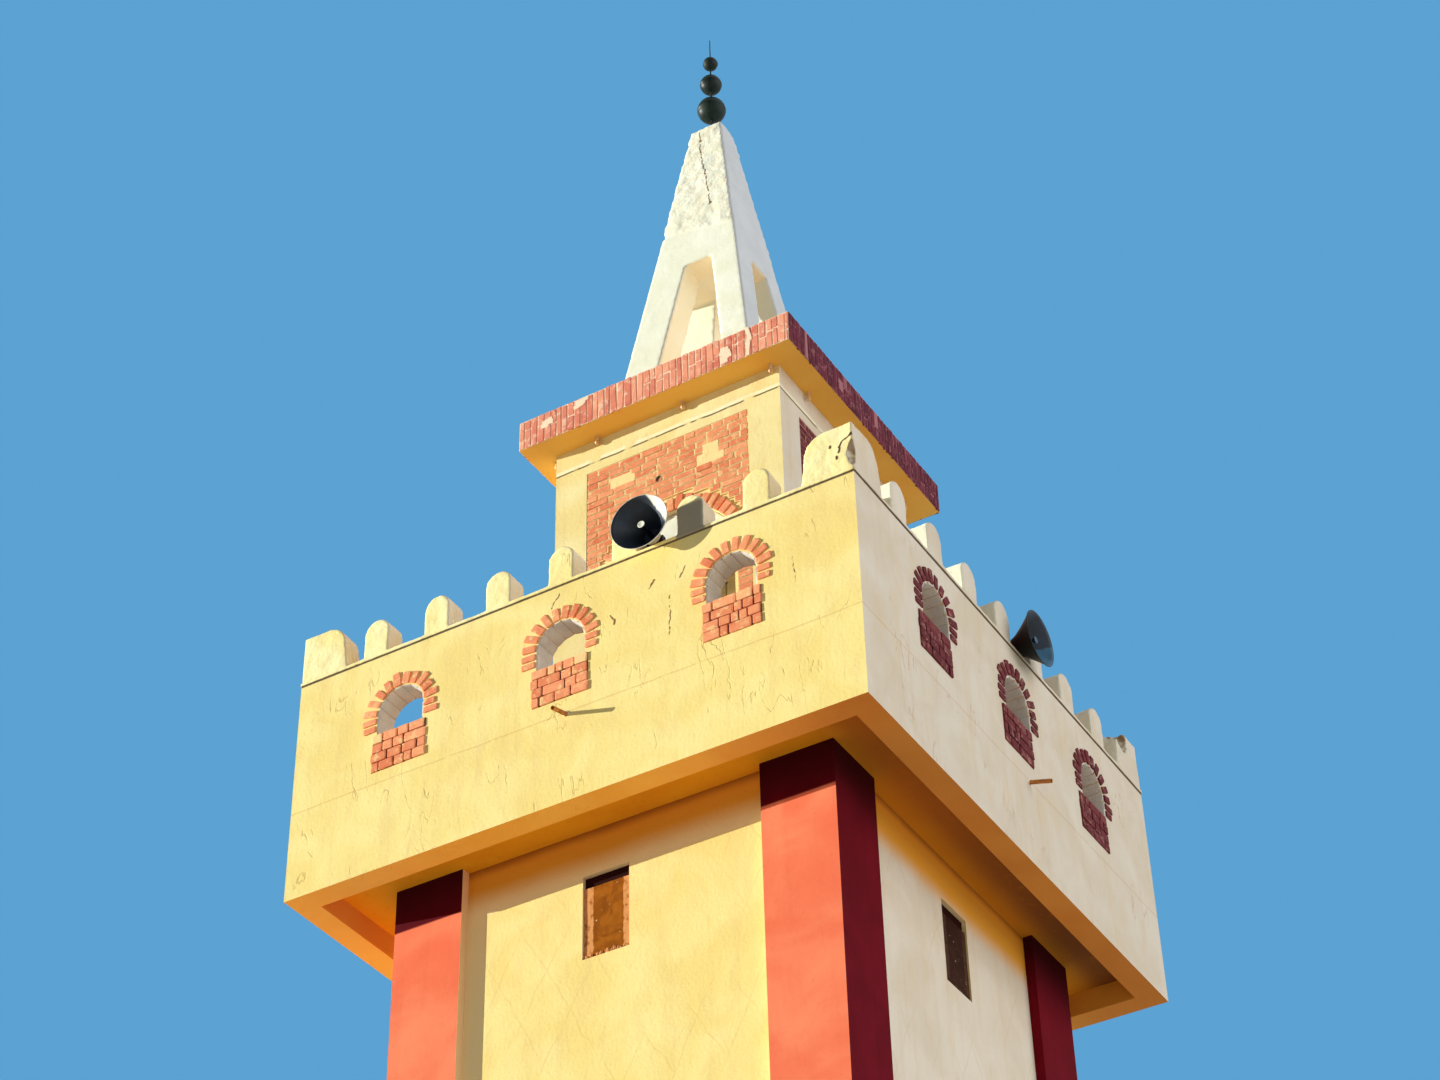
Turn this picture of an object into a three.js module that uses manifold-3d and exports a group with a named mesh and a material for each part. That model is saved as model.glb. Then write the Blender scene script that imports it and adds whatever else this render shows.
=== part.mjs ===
// A square masonry minaret: a shaft with four corner piers, an overhanging gallery with pierced
// parapets and merlons, a smaller upper stage under a flat roof slab, and an open white spire.
// Millimetres, +Z up. The origin is the centre of the footprint, at ground level.
// The front faces -Y and the right side faces +X. Each of the four sides is drawn once, as the
// front, and turned about Z into its place.
import * as THREE from "three";
import { mergeVertices } from "three/addons/utils/BufferGeometryUtils.js";
import Module from "manifold-3d";

const wasm = await Module();
wasm.setup();

// Heights above the ground
const GROUND_FLOOR_TOP = 150;
const GALLERY_BOTTOM = 15000;
const SOFFIT = GALLERY_BOTTOM + 200;
const GALLERY_FLOOR_TOP = GALLERY_BOTTOM + 740;
const PARAPET_TOP = GALLERY_BOTTOM + 1990;
const ROOF_BOTTOM = GALLERY_BOTTOM + 4770;
const ROOF_TOP = ROOF_BOTTOM + 315;
const SPIRE_TOP = GALLERY_BOTTOM + 9170;
const FINIAL_TIP = GALLERY_BOTTOM + 10525;

// Shaft
const SHAFT_HALF = 1900;
const PIER_WIDTH = 610;
const PIER_PROUD = 80;
const SHAFT_WALL_THICKNESS = 200;
const WINDOW_WIDTH = 400;
const WINDOW_HEIGHT = 700;
const WINDOW_TOPS = [GALLERY_BOTTOM - 185, GALLERY_BOTTOM - 7185];
const WINDOW_ROWS = ["upper", "lower"];
const WINDOW_CENTRES = { front: -65, right: 50, back: -65, left: 50 };
const BOARD_RECESS = 12;
const BOARD_THICKNESS = 30;
const DOORWAY_WIDTH = 900;
const DOORWAY_TOP = 2250;

// Gallery
const GALLERY_HALF = 2500;
const PARAPET_THICKNESS = 200;
const STAIR_HATCH = 1000;
const ARCH_HALF_WIDTH = 215;
const ARCH_SILL = GALLERY_BOTTOM + 1280;
const ARCH_SPRINGING = GALLERY_BOTTOM + 1455;
// Each arch by its place along the side and how far it sits above or below the common height
const ARCHES_FRONT_AND_BACK = [[-1505, -50], [-40, -18], [1447, 0]];
const ARCHES_RIGHT_AND_LEFT = [[-1300, 35], [60, 5], [1410, -30]];
const ARCHES = {
  front: ARCHES_FRONT_AND_BACK,
  right: ARCHES_RIGHT_AND_LEFT,
  back: ARCHES_FRONT_AND_BACK,
  left: ARCHES_RIGHT_AND_LEFT,
};
const SPOUT_RADIUS = 18;
const SPOUT_BORE_RADIUS = 14;
const SPOUT_REACH = 190;
const SPOUT_AXIS = GALLERY_FLOOR_TOP + 25; // at the outer face of the parapet
const SPOUT_SLOPE = 16;
const SPOUT_CENTRES = { front: 20, right: 145, back: 20, left: 145 };
const SEAT_GAP = 0.3;

// Coping and merlons
const COPING_THICKNESS = 35;
const COPING_OVERHANG = 12;
const COPING_TOP = PARAPET_TOP + COPING_THICKNESS;
const MERLON_WIDTH = 230;
const MERLON_HEIGHT = 345;
const MERLON_DEPTH = 190;
const MERLON_SPACING = 577;
const MERLONS_EACH_WAY = 3;
const MERLON_ROW_SHIFT = -50;
const CORNER_MERLON_HEIGHT = 440;
const CORNER_MERLON_REACH = 440;
const CORNER_MERLON_LEAN = 30;
const SHOULDER_WIDTH = 180;
const SHOULDER_HEIGHT = 210;

// Upper stage and roof slab
const UPPER_SHIFT = 40;
const UPPER_HALF = 1110;
const UPPER_WALL_THICKNESS = 200;
const ROOF_HALF = 1340;
const PANEL_HALF_WIDTH = 795;
const PANEL_TOP = GALLERY_BOTTOM + 4430;
const PANEL_DEPTH = 20;
const DOOR_CENTRE = 30;
const NICHE_HALF_WIDTH = 620;
const NICHE_SPRINGING = GALLERY_BOTTOM + 3050;
const NICHE_DEPTH = 70;
const UPPER_DOOR_HALF_WIDTH = 560;
const UPPER_DOOR_TOP = GALLERY_BOTTOM + 2990;
const UPPER_DOOR_RECESS = 100;
const UPPER_DOOR_THICKNESS = 45;

// Spire and finial
const SPIRE_SHIFT = -43;
const SPIRE_BASE_HALF = 723;
const SPIRE_STRETCH = 27; // added to each half across the front, and taken off the halves in depth
const SPIRE_WAIST = GALLERY_BOTTOM + 7660;
const SPIRE_WAIST_HALF = 357;
const SPIRE_TOP_HALF = 137;
const SPIRE_OPENING_TOP = GALLERY_BOTTOM + 7130;
const SPIRE_OPENING_BASE_HALF = 430;
const SPIRE_OPENING_TOP_HALF = 135;
const ROD_RADIUS = 14;
const TIP_RADIUS = 4;
const BALLS = [
  { name: "finial_ball_large", radius: 140, height: GALLERY_BOTTOM + 9511 },
  { name: "finial_ball_middle", radius: 108, height: GALLERY_BOTTOM + 9876 },
  { name: "finial_ball_small", radius: 75, height: GALLERY_BOTTOM + 10180 },
];

// Horn loudspeakers
const HORN_MOUTH_RADIUS = 240;
const HORN_THROAT_RADIUS = 70;
const HORN_LENGTH = 230;
const HORN_SHELL = 6;
const INNER_HORN_SHARE = 0.5;
const HORN_FLARE = 1.25;
const HORN_SET_BACK = 115;
const DRIVER_RADIUS = 62;
const DRIVER_LENGTH = 110;
const BRACKET_PLATE = 8;
const BRACKET_WIDTH = 50;
const HORNS = [
  { side: "front", along: 737, height: 139, yaw: 5, pitch: 4 },
  { side: "right", along: 249, height: 107, yaw: 0, pitch: 0 },
];

const SIDES = [
  { name: "front", turn: 0 },
  { name: "right", turn: Math.PI / 2 },
  { name: "back", turn: Math.PI },
  { name: "left", turn: -Math.PI / 2 },
];
const CORNERS = ["front_left", "front_right", "back_right", "back_left"];

const FINISHES = {
  yellow_plaster: { color: 0xf2df92, roughness: 0.9, metalness: 0 },
  red_plaster: { color: 0xd85a3c, roughness: 0.85, metalness: 0 },
  white_plaster: { color: 0xf4f0e2, roughness: 0.9, metalness: 0 },
  soffit_plaster: { color: 0xd8984a, roughness: 0.9, metalness: 0 },
  concrete: { color: 0xb9b0a0, roughness: 0.95, metalness: 0 },
  red_brick: { color: 0xc9573c, roughness: 0.9, metalness: 0 },
  brown_timber: { color: 0x8a5a24, roughness: 0.8, metalness: 0 },
  olive_paint: { color: 0x8f7c3c, roughness: 0.6, metalness: 0 },
  rusty_pipe: { color: 0x8a5138, roughness: 0.8, metalness: 0.3 },
  green_paint: { color: 0x24402f, roughness: 0.4, metalness: 0.2 },
  horn_shell: { color: 0xd9d4c4, roughness: 0.5, metalness: 0.1 },
  dark_metal: { color: 0x2b2c2e, roughness: 0.5, metalness: 0.6 },
};

function degrees(angle) {
  return THREE.MathUtils.degToRad(angle);
}

function piece(name, finish, geometry) {
  const mesh = new THREE.Mesh(geometry, new THREE.MeshStandardMaterial(FINISHES[finish]));
  mesh.name = name;
  return mesh;
}

// A rectangular block between two opposite corners
function block([x0, y0, z0], [x1, y1, z1]) {
  const geometry = new THREE.BoxGeometry(x1 - x0, y1 - y0, z1 - z0);
  return geometry.translate((x0 + x1) / 2, (y0 + y1) / 2, (z0 + z1) / 2);
}

// An outline in x and y, extruded upwards
function plinth(points, z0, z1) {
  const shape = new THREE.Shape(points.map(([x, y]) => new THREE.Vector2(x, y)));
  const geometry = new THREE.ExtrudeGeometry(shape, { depth: z1 - z0, bevelEnabled: false });
  return geometry.translate(0, 0, z0);
}

// An outline in x and z, standing upright and extruded from y0 back to y1
function upright(shape, y0, y1, curveSegments = 10) {
  const settings = { depth: y1 - y0, bevelEnabled: false, curveSegments };
  return new THREE.ExtrudeGeometry(shape, settings).rotateX(Math.PI / 2).translate(0, y1, 0);
}

// A wall of the front side whose ends are mitred at 45 degrees to meet its neighbours
function mitredWall(outer, thickness, z0, z1) {
  const inner = outer - thickness;
  return plinth([[-outer, -outer], [outer, -outer], [inner, -inner], [-inner, -inner]], z0, z1);
}

// A straight-sided opening under a semicircular arch
function archOutline(centre, halfWidth, sill, springing) {
  const shape = new THREE.Shape();
  shape.moveTo(centre - halfWidth, sill);
  shape.lineTo(centre + halfWidth, sill);
  shape.lineTo(centre + halfWidth, springing);
  shape.absarc(centre, springing, halfWidth, 0, Math.PI, false);
  return shape;
}

function solidOf(geometry) {
  const bare = geometry.clone();
  bare.deleteAttribute("normal");
  bare.deleteAttribute("uv");
  const merged = mergeVertices(bare, 1e-3);
  return new wasm.Manifold(
    new wasm.Mesh({
      numProp: 3,
      vertProperties: merged.attributes.position.array,
      triVerts: new Uint32Array(merged.index.array),
    }),
  );
}

function geometryOf(solid) {
  const mesh = solid.getMesh();
  const geometry = new THREE.BufferGeometry();
  geometry.setAttribute("position", new THREE.BufferAttribute(mesh.vertProperties, 3));
  geometry.setIndex(new THREE.BufferAttribute(mesh.triVerts, 1));
  geometry.computeVertexNormals();
  return geometry;
}

function cut(geometry, tools) {
  return geometryOf(tools.reduce((rest, tool) => rest.subtract(solidOf(tool)), solidOf(geometry)));
}

function join(geometries) {
  const [first, ...others] = geometries.map(solidOf);
  return geometryOf(others.reduce((whole, other) => whole.add(other), first));
}

// Shaft

function groundFloor() {
  const reach = SHAFT_HALF - PIER_PROUD - SHAFT_WALL_THICKNESS;
  const pierFace = SHAFT_HALF - PIER_WIDTH;
  const crossways = block([-reach, -pierFace, 0], [reach, pierFace, GROUND_FLOOR_TOP]);
  const lengthways = block([-pierFace, -reach, 0], [pierFace, reach, GROUND_FLOOR_TOP]);
  const threshold = block(
    [-DOORWAY_WIDTH / 2, reach - 1, 0],
    [DOORWAY_WIDTH / 2, SHAFT_HALF - PIER_PROUD, GROUND_FLOOR_TOP],
  );
  return piece("ground_floor", "concrete", join([crossways, lengthways, threshold]));
}

function cornerPier(corner) {
  const near = SHAFT_HALF - PIER_WIDTH;
  const geometry = block([-SHAFT_HALF, -SHAFT_HALF, 0], [-near, -near, SOFFIT]);
  return piece("corner_pier_" + corner, "red_plaster", geometry);
}

function shaftWallBlock(x0, x1, z0, z1) {
  const face = -(SHAFT_HALF - PIER_PROUD);
  return block([x0, face, z0], [x1, face + SHAFT_WALL_THICKNESS, z1]);
}

function windowHoles(side) {
  const face = -(SHAFT_HALF - PIER_PROUD);
  const left = WINDOW_CENTRES[side] - WINDOW_WIDTH / 2;
  return WINDOW_TOPS.map((top) =>
    block(
      [left, face - 10, top - WINDOW_HEIGHT],
      [left + WINDOW_WIDTH, face + SHAFT_WALL_THICKNESS + 10, top],
    ),
  );
}

// The back wall is in three pieces: over the doorway and on both sides of it
function shaftWalls(side) {
  const end = SHAFT_HALF - PIER_WIDTH;
  const bottom = side === "back" ? DOORWAY_TOP : 0;
  const name = "shaft_wall_" + side;
  const wall = cut(shaftWallBlock(-end, end, bottom, SOFFIT), windowHoles(side));
  const walls = [piece(name, "yellow_plaster", wall)];
  if (side === "back") {
    const jamb = DOORWAY_WIDTH / 2;
    const first = shaftWallBlock(-end, -jamb, 0, DOORWAY_TOP);
    const second = shaftWallBlock(jamb, end, 0, DOORWAY_TOP);
    walls.push(piece(name + "_beside_door_1", "yellow_plaster", first));
    walls.push(piece(name + "_beside_door_2", "yellow_plaster", second));
  }
  return walls;
}

function windowBoards(side) {
  const front = -(SHAFT_HALF - PIER_PROUD) + BOARD_RECESS;
  const left = WINDOW_CENTRES[side] - WINDOW_WIDTH / 2;
  return WINDOW_TOPS.map((top, row) => {
    const geometry = block(
      [left, front, top - WINDOW_HEIGHT],
      [left + WINDOW_WIDTH, front + BOARD_THICKNESS, top],
    );
    return piece("window_board_" + side + "_" + WINDOW_ROWS[row], "brown_timber", geometry);
  });
}

// Gallery

function galleryFloor() {
  const reach = GALLERY_HALF - PARAPET_THICKNESS;
  const hatch = STAIR_HATCH / 2;
  const slab = block([-reach, -reach, SOFFIT], [reach, reach, GALLERY_FLOOR_TOP]);
  const hole = block([-hatch, -hatch, SOFFIT - 10], [hatch, hatch, GALLERY_FLOOR_TOP + 10]);
  return piece("gallery_floor", "soffit_plaster", cut(slab, [hole]));
}

// A round bar on a spout's line, which slopes down outwards; both distances are from the outer face
function barOnSpoutLine(side, radius, outside, inside) {
  const bar = new THREE.CylinderGeometry(radius, radius, outside + inside, 12);
  bar.translate(0, (inside - outside) / 2, 0).rotateX(degrees(SPOUT_SLOPE));
  return bar.translate(SPOUT_CENTRES[side], -GALLERY_HALF, SPOUT_AXIS);
}

function parapet(side) {
  const wall = mitredWall(GALLERY_HALF, PARAPET_THICKNESS, GALLERY_BOTTOM, PARAPET_TOP);
  const outside = -GALLERY_HALF - 10;
  const inside = -GALLERY_HALF + PARAPET_THICKNESS + 10;
  const holes = ARCHES[side].map(([centre, rise]) =>
    upright(
      archOutline(centre, ARCH_HALF_WIDTH, ARCH_SILL + rise, ARCH_SPRINGING + rise),
      outside,
      inside,
    ),
  );
  const throughWall = PARAPET_THICKNESS + 50;
  holes.push(barOnSpoutLine(side, SPOUT_RADIUS + SEAT_GAP, SPOUT_REACH, throughWall));
  return piece("parapet_" + side, "yellow_plaster", cut(wall, holes));
}

function spout(side) {
  const bore = barOnSpoutLine(side, SPOUT_BORE_RADIUS, SPOUT_REACH + 10, PARAPET_THICKNESS + 10);
  const bar = barOnSpoutLine(side, SPOUT_RADIUS, SPOUT_REACH, PARAPET_THICKNESS);
  const pipe = cut(bar, [bore]);
  return piece("spout_" + side, "rusty_pipe", pipe);
}

// Coping and merlons

function merlonBlock(centre) {
  const half = MERLON_WIDTH / 2;
  const foot = PARAPET_TOP + 10;
  const shape = archOutline(centre, half, foot, COPING_TOP + MERLON_HEIGHT - half);
  return upright(shape, -GALLERY_HALF, -GALLERY_HALF + MERLON_DEPTH, 8);
}

function merlonRow(side) {
  const outer = GALLERY_HALF + COPING_OVERHANG;
  const thickness = PARAPET_THICKNESS + 2 * COPING_OVERHANG;
  const parts = [mitredWall(outer, thickness, PARAPET_TOP, COPING_TOP)];
  for (let place = -MERLONS_EACH_WAY; place <= MERLONS_EACH_WAY; place += 1)
    parts.push(merlonBlock(place * MERLON_SPACING + MERLON_ROW_SHIFT));
  return piece("merlon_row_" + side, "yellow_plaster", join(parts));
}

// Half of a corner merlon: its free end leans in a little and rounds over into the level top
function cornerMerlonArm() {
  const corner = -GALLERY_HALF;
  const shoulder = CORNER_MERLON_REACH - CORNER_MERLON_LEAN;
  const shape = new THREE.Shape();
  shape.moveTo(corner, COPING_TOP);
  shape.lineTo(corner + CORNER_MERLON_REACH, COPING_TOP);
  shape.lineTo(corner + shoulder, COPING_TOP + CORNER_MERLON_HEIGHT - SHOULDER_HEIGHT);
  shape.absellipse(
    corner + shoulder - SHOULDER_WIDTH,
    COPING_TOP + CORNER_MERLON_HEIGHT - SHOULDER_HEIGHT,
    SHOULDER_WIDTH,
    SHOULDER_HEIGHT,
    0,
    Math.PI / 2,
    false,
    0,
  );
  shape.lineTo(corner, COPING_TOP + CORNER_MERLON_HEIGHT);
  return upright(shape, corner, corner + MERLON_DEPTH, 8);
}

function cornerMerlon(corner) {
  const alongFront = cornerMerlonArm();
  // The other arm is the same shape mirrored across the corner's diagonal, where x = y
  const swap = new THREE.Matrix4().set(0, 1, 0, 0, 1, 0, 0, 0, 0, 0, 1, 0, 0, 0, 0, 1);
  const alongSide = cornerMerlonArm().applyMatrix4(swap);
  const turned = mergeVertices(alongSide.deleteAttribute("uv").deleteAttribute("normal"), 1e-3);
  const order = turned.index.array;
  for (let i = 0; i < order.length; i += 3) [order[i + 1], order[i + 2]] = [order[i + 2], order[i + 1]];
  return piece("corner_merlon_" + corner, "yellow_plaster", join([alongFront, turned]));
}

// Upper stage

// A wall with a shallow recess for its brickwork; the front one has the arched doorway as well
function upperWall(side) {
  const wall = mitredWall(UPPER_HALF, UPPER_WALL_THICKNESS, GALLERY_FLOOR_TOP, ROOF_BOTTOM);
  const face = -UPPER_HALF;
  const below = GALLERY_FLOOR_TOP - 10;
  const recesses = [
    block([-PANEL_HALF_WIDTH, face - 10, below], [PANEL_HALF_WIDTH, face + PANEL_DEPTH, PANEL_TOP]),
  ];
  if (side === "front") {
    const outline = archOutline(DOOR_CENTRE, NICHE_HALF_WIDTH, below, NICHE_SPRINGING);
    const doorway = block(
      [DOOR_CENTRE - UPPER_DOOR_HALF_WIDTH, face, below],
      [DOOR_CENTRE + UPPER_DOOR_HALF_WIDTH, face + UPPER_WALL_THICKNESS + 10, UPPER_DOOR_TOP],
    );
    recesses.push(upright(outline, face - 10, face + NICHE_DEPTH, 16), doorway);
  }
  return piece("upper_wall_" + side, "yellow_plaster", cut(wall, recesses));
}

function upperDoor() {
  const front = -UPPER_HALF + UPPER_DOOR_RECESS;
  const geometry = block(
    [DOOR_CENTRE - UPPER_DOOR_HALF_WIDTH, front, GALLERY_FLOOR_TOP],
    [DOOR_CENTRE + UPPER_DOOR_HALF_WIDTH, front + UPPER_DOOR_THICKNESS, UPPER_DOOR_TOP],
  );
  return piece("upper_door", "olive_paint", geometry);
}

function roofSlab() {
  const slab = block([-ROOF_HALF, -ROOF_HALF, ROOF_BOTTOM], [ROOF_HALF, ROOF_HALF, ROOF_TOP]);
  return piece("roof_slab", "red_brick", slab);
}

// A profile of [radius, height] points turned about the z axis
function turned(points, segments) {
  const profile = points.map(([radius, height]) => new THREE.Vector2(radius, height));
  return new THREE.LatheGeometry(profile, segments).rotateX(Math.PI / 2);
}

// Spire: a tall pyramid in two slopes on four legs, open on all sides between them

function spireOpening() {
  const reach = SPIRE_BASE_HALF + SPIRE_STRETCH - SPIRE_SHIFT + 10;
  const below = ROOF_TOP - 10;
  const shape = new THREE.Shape();
  shape.moveTo(-SPIRE_OPENING_BASE_HALF, below);
  shape.lineTo(SPIRE_OPENING_BASE_HALF, below);
  shape.lineTo(SPIRE_OPENING_TOP_HALF, SPIRE_OPENING_TOP);
  shape.lineTo(-SPIRE_OPENING_TOP_HALF, SPIRE_OPENING_TOP);
  return upright(shape, -reach, reach);
}

// Moves every corner outward across the front and inward in depth
function stretched(geometry, distance) {
  const places = geometry.attributes.position;
  for (let i = 0; i < places.count; i += 1) {
    const x = Math.round(places.getX(i));
    const y = Math.round(places.getY(i));
    places.setX(i, places.getX(i) + Math.sign(x) * distance);
    places.setY(i, places.getY(i) - Math.sign(y) * distance);
  }
  return geometry;
}

function spire() {
  const profile = [
    [0, ROOF_TOP],
    [SPIRE_BASE_HALF, ROOF_TOP],
    [SPIRE_WAIST_HALF, SPIRE_WAIST],
    [SPIRE_TOP_HALF, SPIRE_TOP],
    [0, SPIRE_TOP],
  ];
  const toCorners = profile.map(([half, height]) => [half * Math.SQRT2, height]);
  const square = turned(toCorners, 4).rotateZ(Math.PI / 4);
  const pyramid = stretched(square, SPIRE_STRETCH).translate(SPIRE_SHIFT, 0, 0);
  const openings = [spireOpening(), spireOpening().rotateZ(Math.PI / 2)];
  return piece("spire", "white_plaster", cut(pyramid, openings));
}

function finialRod() {
  const geometry = turned(
    [[0, SPIRE_TOP], [ROD_RADIUS, SPIRE_TOP], [TIP_RADIUS, FINIAL_TIP], [0, FINIAL_TIP]],
    12,
  );
  return piece("finial_rod", "green_paint", geometry.translate(SPIRE_SHIFT, 0, 0));
}

function rodRadiusAt(height) {
  const share = (height - SPIRE_TOP) / (FINIAL_TIP - SPIRE_TOP);
  return ROD_RADIUS + share * (TIP_RADIUS - ROD_RADIUS);
}

// A ball threaded on the rod: its bore follows the rod's taper with a hair of clearance
function finialBall({ name, radius, height }) {
  const steps = 12;
  const bore = ROD_RADIUS + SEAT_GAP;
  const first = Math.asin(bore / radius);
  const points = [];
  for (let i = 0; i <= steps; i += 1) {
    const angle = first + (i / steps) * (Math.PI - 2 * first);
    points.push([radius * Math.sin(angle), height - radius * Math.cos(angle)]);
  }
  const low = points[0][1];
  const high = points[steps][1];
  points[steps][0] = rodRadiusAt(high) + SEAT_GAP;
  points[0][0] = rodRadiusAt(low) + SEAT_GAP;
  points.push([...points[0]]);
  return piece(name, "green_paint", turned(points, 24).translate(SPIRE_SHIFT, 0, 0));
}

// Horn loudspeakers, drawn along y with the mouth towards -y and the pivot at the origin

function hornOutline(share) {
  const flare = share ** HORN_FLARE;
  return HORN_THROAT_RADIUS + flare * (HORN_MOUTH_RADIUS - HORN_THROAT_RADIUS);
}

function hornBell(side) {
  const steps = 6;
  const inside = [];
  const outside = [];
  for (let i = 0; i <= steps; i += 1) {
    const share = i / steps;
    const along = DRIVER_RADIUS + share * HORN_LENGTH;
    inside.push([hornOutline(share) - HORN_SHELL, along]);
    outside.push([hornOutline(share), along]);
  }
  const loop = [...outside, ...inside.reverse()];
  loop.push([...outside[0]]);
  const bell = turned(loop, 32).rotateX(Math.PI / 2);
  return piece("horn_" + side + "_bell", "horn_shell", bell);
}

// The driver body, with the small inner horn on its nose
function hornDriver(side) {
  const throat = HORN_THROAT_RADIUS - HORN_SHELL - SEAT_GAP;
  const nose = DRIVER_RADIUS + INNER_HORN_SHARE * HORN_LENGTH;
  const points = [
    [0, -DRIVER_LENGTH / 2],
    [DRIVER_RADIUS, -DRIVER_LENGTH / 2],
    [DRIVER_RADIUS, DRIVER_LENGTH / 2],
    [throat, DRIVER_RADIUS - SEAT_GAP],
    [throat, DRIVER_RADIUS + 20],
    [24, DRIVER_RADIUS + 40],
    [24, nose - 40],
    [34, nose],
    [0, nose],
  ];
  const driver = turned(points, 24).rotateX(Math.PI / 2);
  return piece("horn_" + side + "_driver", "dark_metal", driver);
}

// A foot plate on the coping with two straps that hold the driver between them
function hornBracket(side, height) {
  const inner = DRIVER_RADIUS + SEAT_GAP;
  const outer = inner + BRACKET_PLATE;
  const half = BRACKET_WIDTH / 2;
  const foot = -height;
  const plate = block([-outer, -half, foot], [outer, half, foot + BRACKET_PLATE]);
  const straps = [-1, 1].map((way) => {
    const near = way < 0 ? -outer : inner;
    return block([near, -half, foot], [near + BRACKET_PLATE, half, half]);
  });
  return piece("horn_" + side + "_bracket", "dark_metal", join([plate, ...straps]));
}

function horn({ side, along, height, yaw, pitch }) {
  const stand = new THREE.Group();
  const setBack = -GALLERY_HALF + HORN_SET_BACK;
  stand.position.set(along, setBack, COPING_TOP + height);
  stand.rotation.z = degrees(yaw);
  const head = new THREE.Group();
  head.rotation.x = degrees(pitch);
  head.add(hornBell(side), hornDriver(side));
  stand.add(hornBracket(side, height), head);
  return stand;
}

function sideGroup({ name, turn }) {
  const group = new THREE.Group();
  group.rotation.z = turn;
  group.add(...shaftWalls(name), ...windowBoards(name));
  group.add(parapet(name), spout(name), merlonRow(name));
  HORNS.filter((one) => one.side === name).forEach((one) => group.add(horn(one)));
  return group;
}

// The walls, door and roof slab over the gallery, which stand a little off the tower's centre
function upperStage() {
  const stage = new THREE.Group();
  stage.position.set(UPPER_SHIFT, UPPER_SHIFT, 0);
  SIDES.forEach(({ name, turn }) => {
    const wall = upperWall(name);
    wall.rotation.z = turn;
    stage.add(wall);
  });
  stage.add(upperDoor(), roofSlab());
  return stage;
}

function cornerGroup(corner, index) {
  const group = new THREE.Group();
  group.rotation.z = SIDES[index].turn;
  group.add(cornerPier(corner), cornerMerlon(corner));
  return group;
}

const minaret = new THREE.Group();
minaret.add(groundFloor(), galleryFloor(), upperStage(), spire(), finialRod());
minaret.add(...BALLS.map(finialBall));
minaret.add(...SIDES.map(sideGroup));
minaret.add(...CORNERS.map(cornerGroup));

export default minaret;
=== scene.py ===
"""Looks for a square masonry minaret: plaster, brickwork, battlements, white spire and horns.

Metres, +Z up. The front faces -Y and the right side faces +X. What belongs to one side is drawn
on the front first and then turned about Z to its own side. Colours are written as a screen shows
them, 0 to 255; only a sun's are shares of 1.
"""
import math
import random

import bmesh
import bpy
from mathutils import Matrix, Vector


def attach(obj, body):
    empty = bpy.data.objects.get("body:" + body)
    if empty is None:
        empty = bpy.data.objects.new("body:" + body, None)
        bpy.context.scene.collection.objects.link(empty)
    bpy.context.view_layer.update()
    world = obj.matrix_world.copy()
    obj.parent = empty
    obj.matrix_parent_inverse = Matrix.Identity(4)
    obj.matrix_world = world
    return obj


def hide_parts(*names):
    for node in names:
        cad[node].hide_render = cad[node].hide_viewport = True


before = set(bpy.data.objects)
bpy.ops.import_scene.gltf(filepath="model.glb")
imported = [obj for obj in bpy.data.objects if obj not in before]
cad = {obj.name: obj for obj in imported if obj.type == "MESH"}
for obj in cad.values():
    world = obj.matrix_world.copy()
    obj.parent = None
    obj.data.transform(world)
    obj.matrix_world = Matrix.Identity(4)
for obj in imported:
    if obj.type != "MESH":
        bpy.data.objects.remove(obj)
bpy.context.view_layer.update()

SIDES = {"front": 0.0, "right": math.pi / 2, "back": math.pi, "left": -math.pi / 2}
# The sides whose finishes are painted as sunlit; the other two are painted as in shade
PAINTED_SUNLIT_SIDES = ("front", "left")
CORNERS = ("front_left", "front_right", "back_right", "back_left")


def by_pair(front, right):
    """What opposite sides share: the back is like the front, and the left like the right side."""
    return {"front": front, "right": right, "back": front, "left": right}


# Heights above the ground
GALLERY = 15.0
GALLERY_FLOOR = GALLERY + 0.74
PARAPET_TOP = GALLERY + 1.99
COPING_TOP = PARAPET_TOP + 0.035
ROOF_BOTTOM = GALLERY + 4.77
ROOF_TOP = ROOF_BOTTOM + 0.315
SPIRE_WAIST = GALLERY + 7.66
SPIRE_TOP = GALLERY + 9.17

# Distances from the tower's axis, or from the upper stage's own axis
PIER_REVEAL = 1.2905
SHAFT_PANEL_FACE = 1.82
GALLERY_FACE = 2.5
PARAPET_THICKNESS = 0.2
UPPER_SHIFT = 0.04
UPPER_FACE = 1.11
ROOF_FACE = 1.34
SPIRE_SHIFT = -0.043

# The small arches: where each stands along its side, and how far it is above its usual height
ARCHES = by_pair(((-1.505, -0.05), (-0.04, -0.018), (1.447, 0.0)),
                 ((-1.3, 0.035), (0.06, 0.005), (1.41, -0.03)))
ARCH_RADIUS = 0.215
ARCH_SPRINGING = GALLERY + 1.455
ARCH_SILL = GALLERY + 1.28
VOUSSOIR = 0.12
APRON_BOTTOM = GALLERY + 0.935
APRON_HALF_WIDTH = 0.25
APRON_COURSES = 4
APRON_SHIFT = by_pair(0.0, -0.05)

# Brick panels and doorway of the upper stage
PANEL_HALF_WIDTH = 0.795
PANEL_TOP = GALLERY + 4.43
PANEL_FACE = UPPER_FACE - 0.02
COURSE = 0.067
JOINT = 0.011
BRICK_PROUD = 0.018
BRICK_DEPTH = 0.024
DOOR_CENTRE = 0.03
DOOR_HALF_WIDTH = 0.56
DOOR_TOP = GALLERY + 2.99
DOOR_FACE = UPPER_FACE - 0.1
NICHE_RADIUS = 0.62
NICHE_SPRINGING = GALLERY + 3.05
NICHE_DEPTH = 0.07
RING_DEPTH = 0.135

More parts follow.
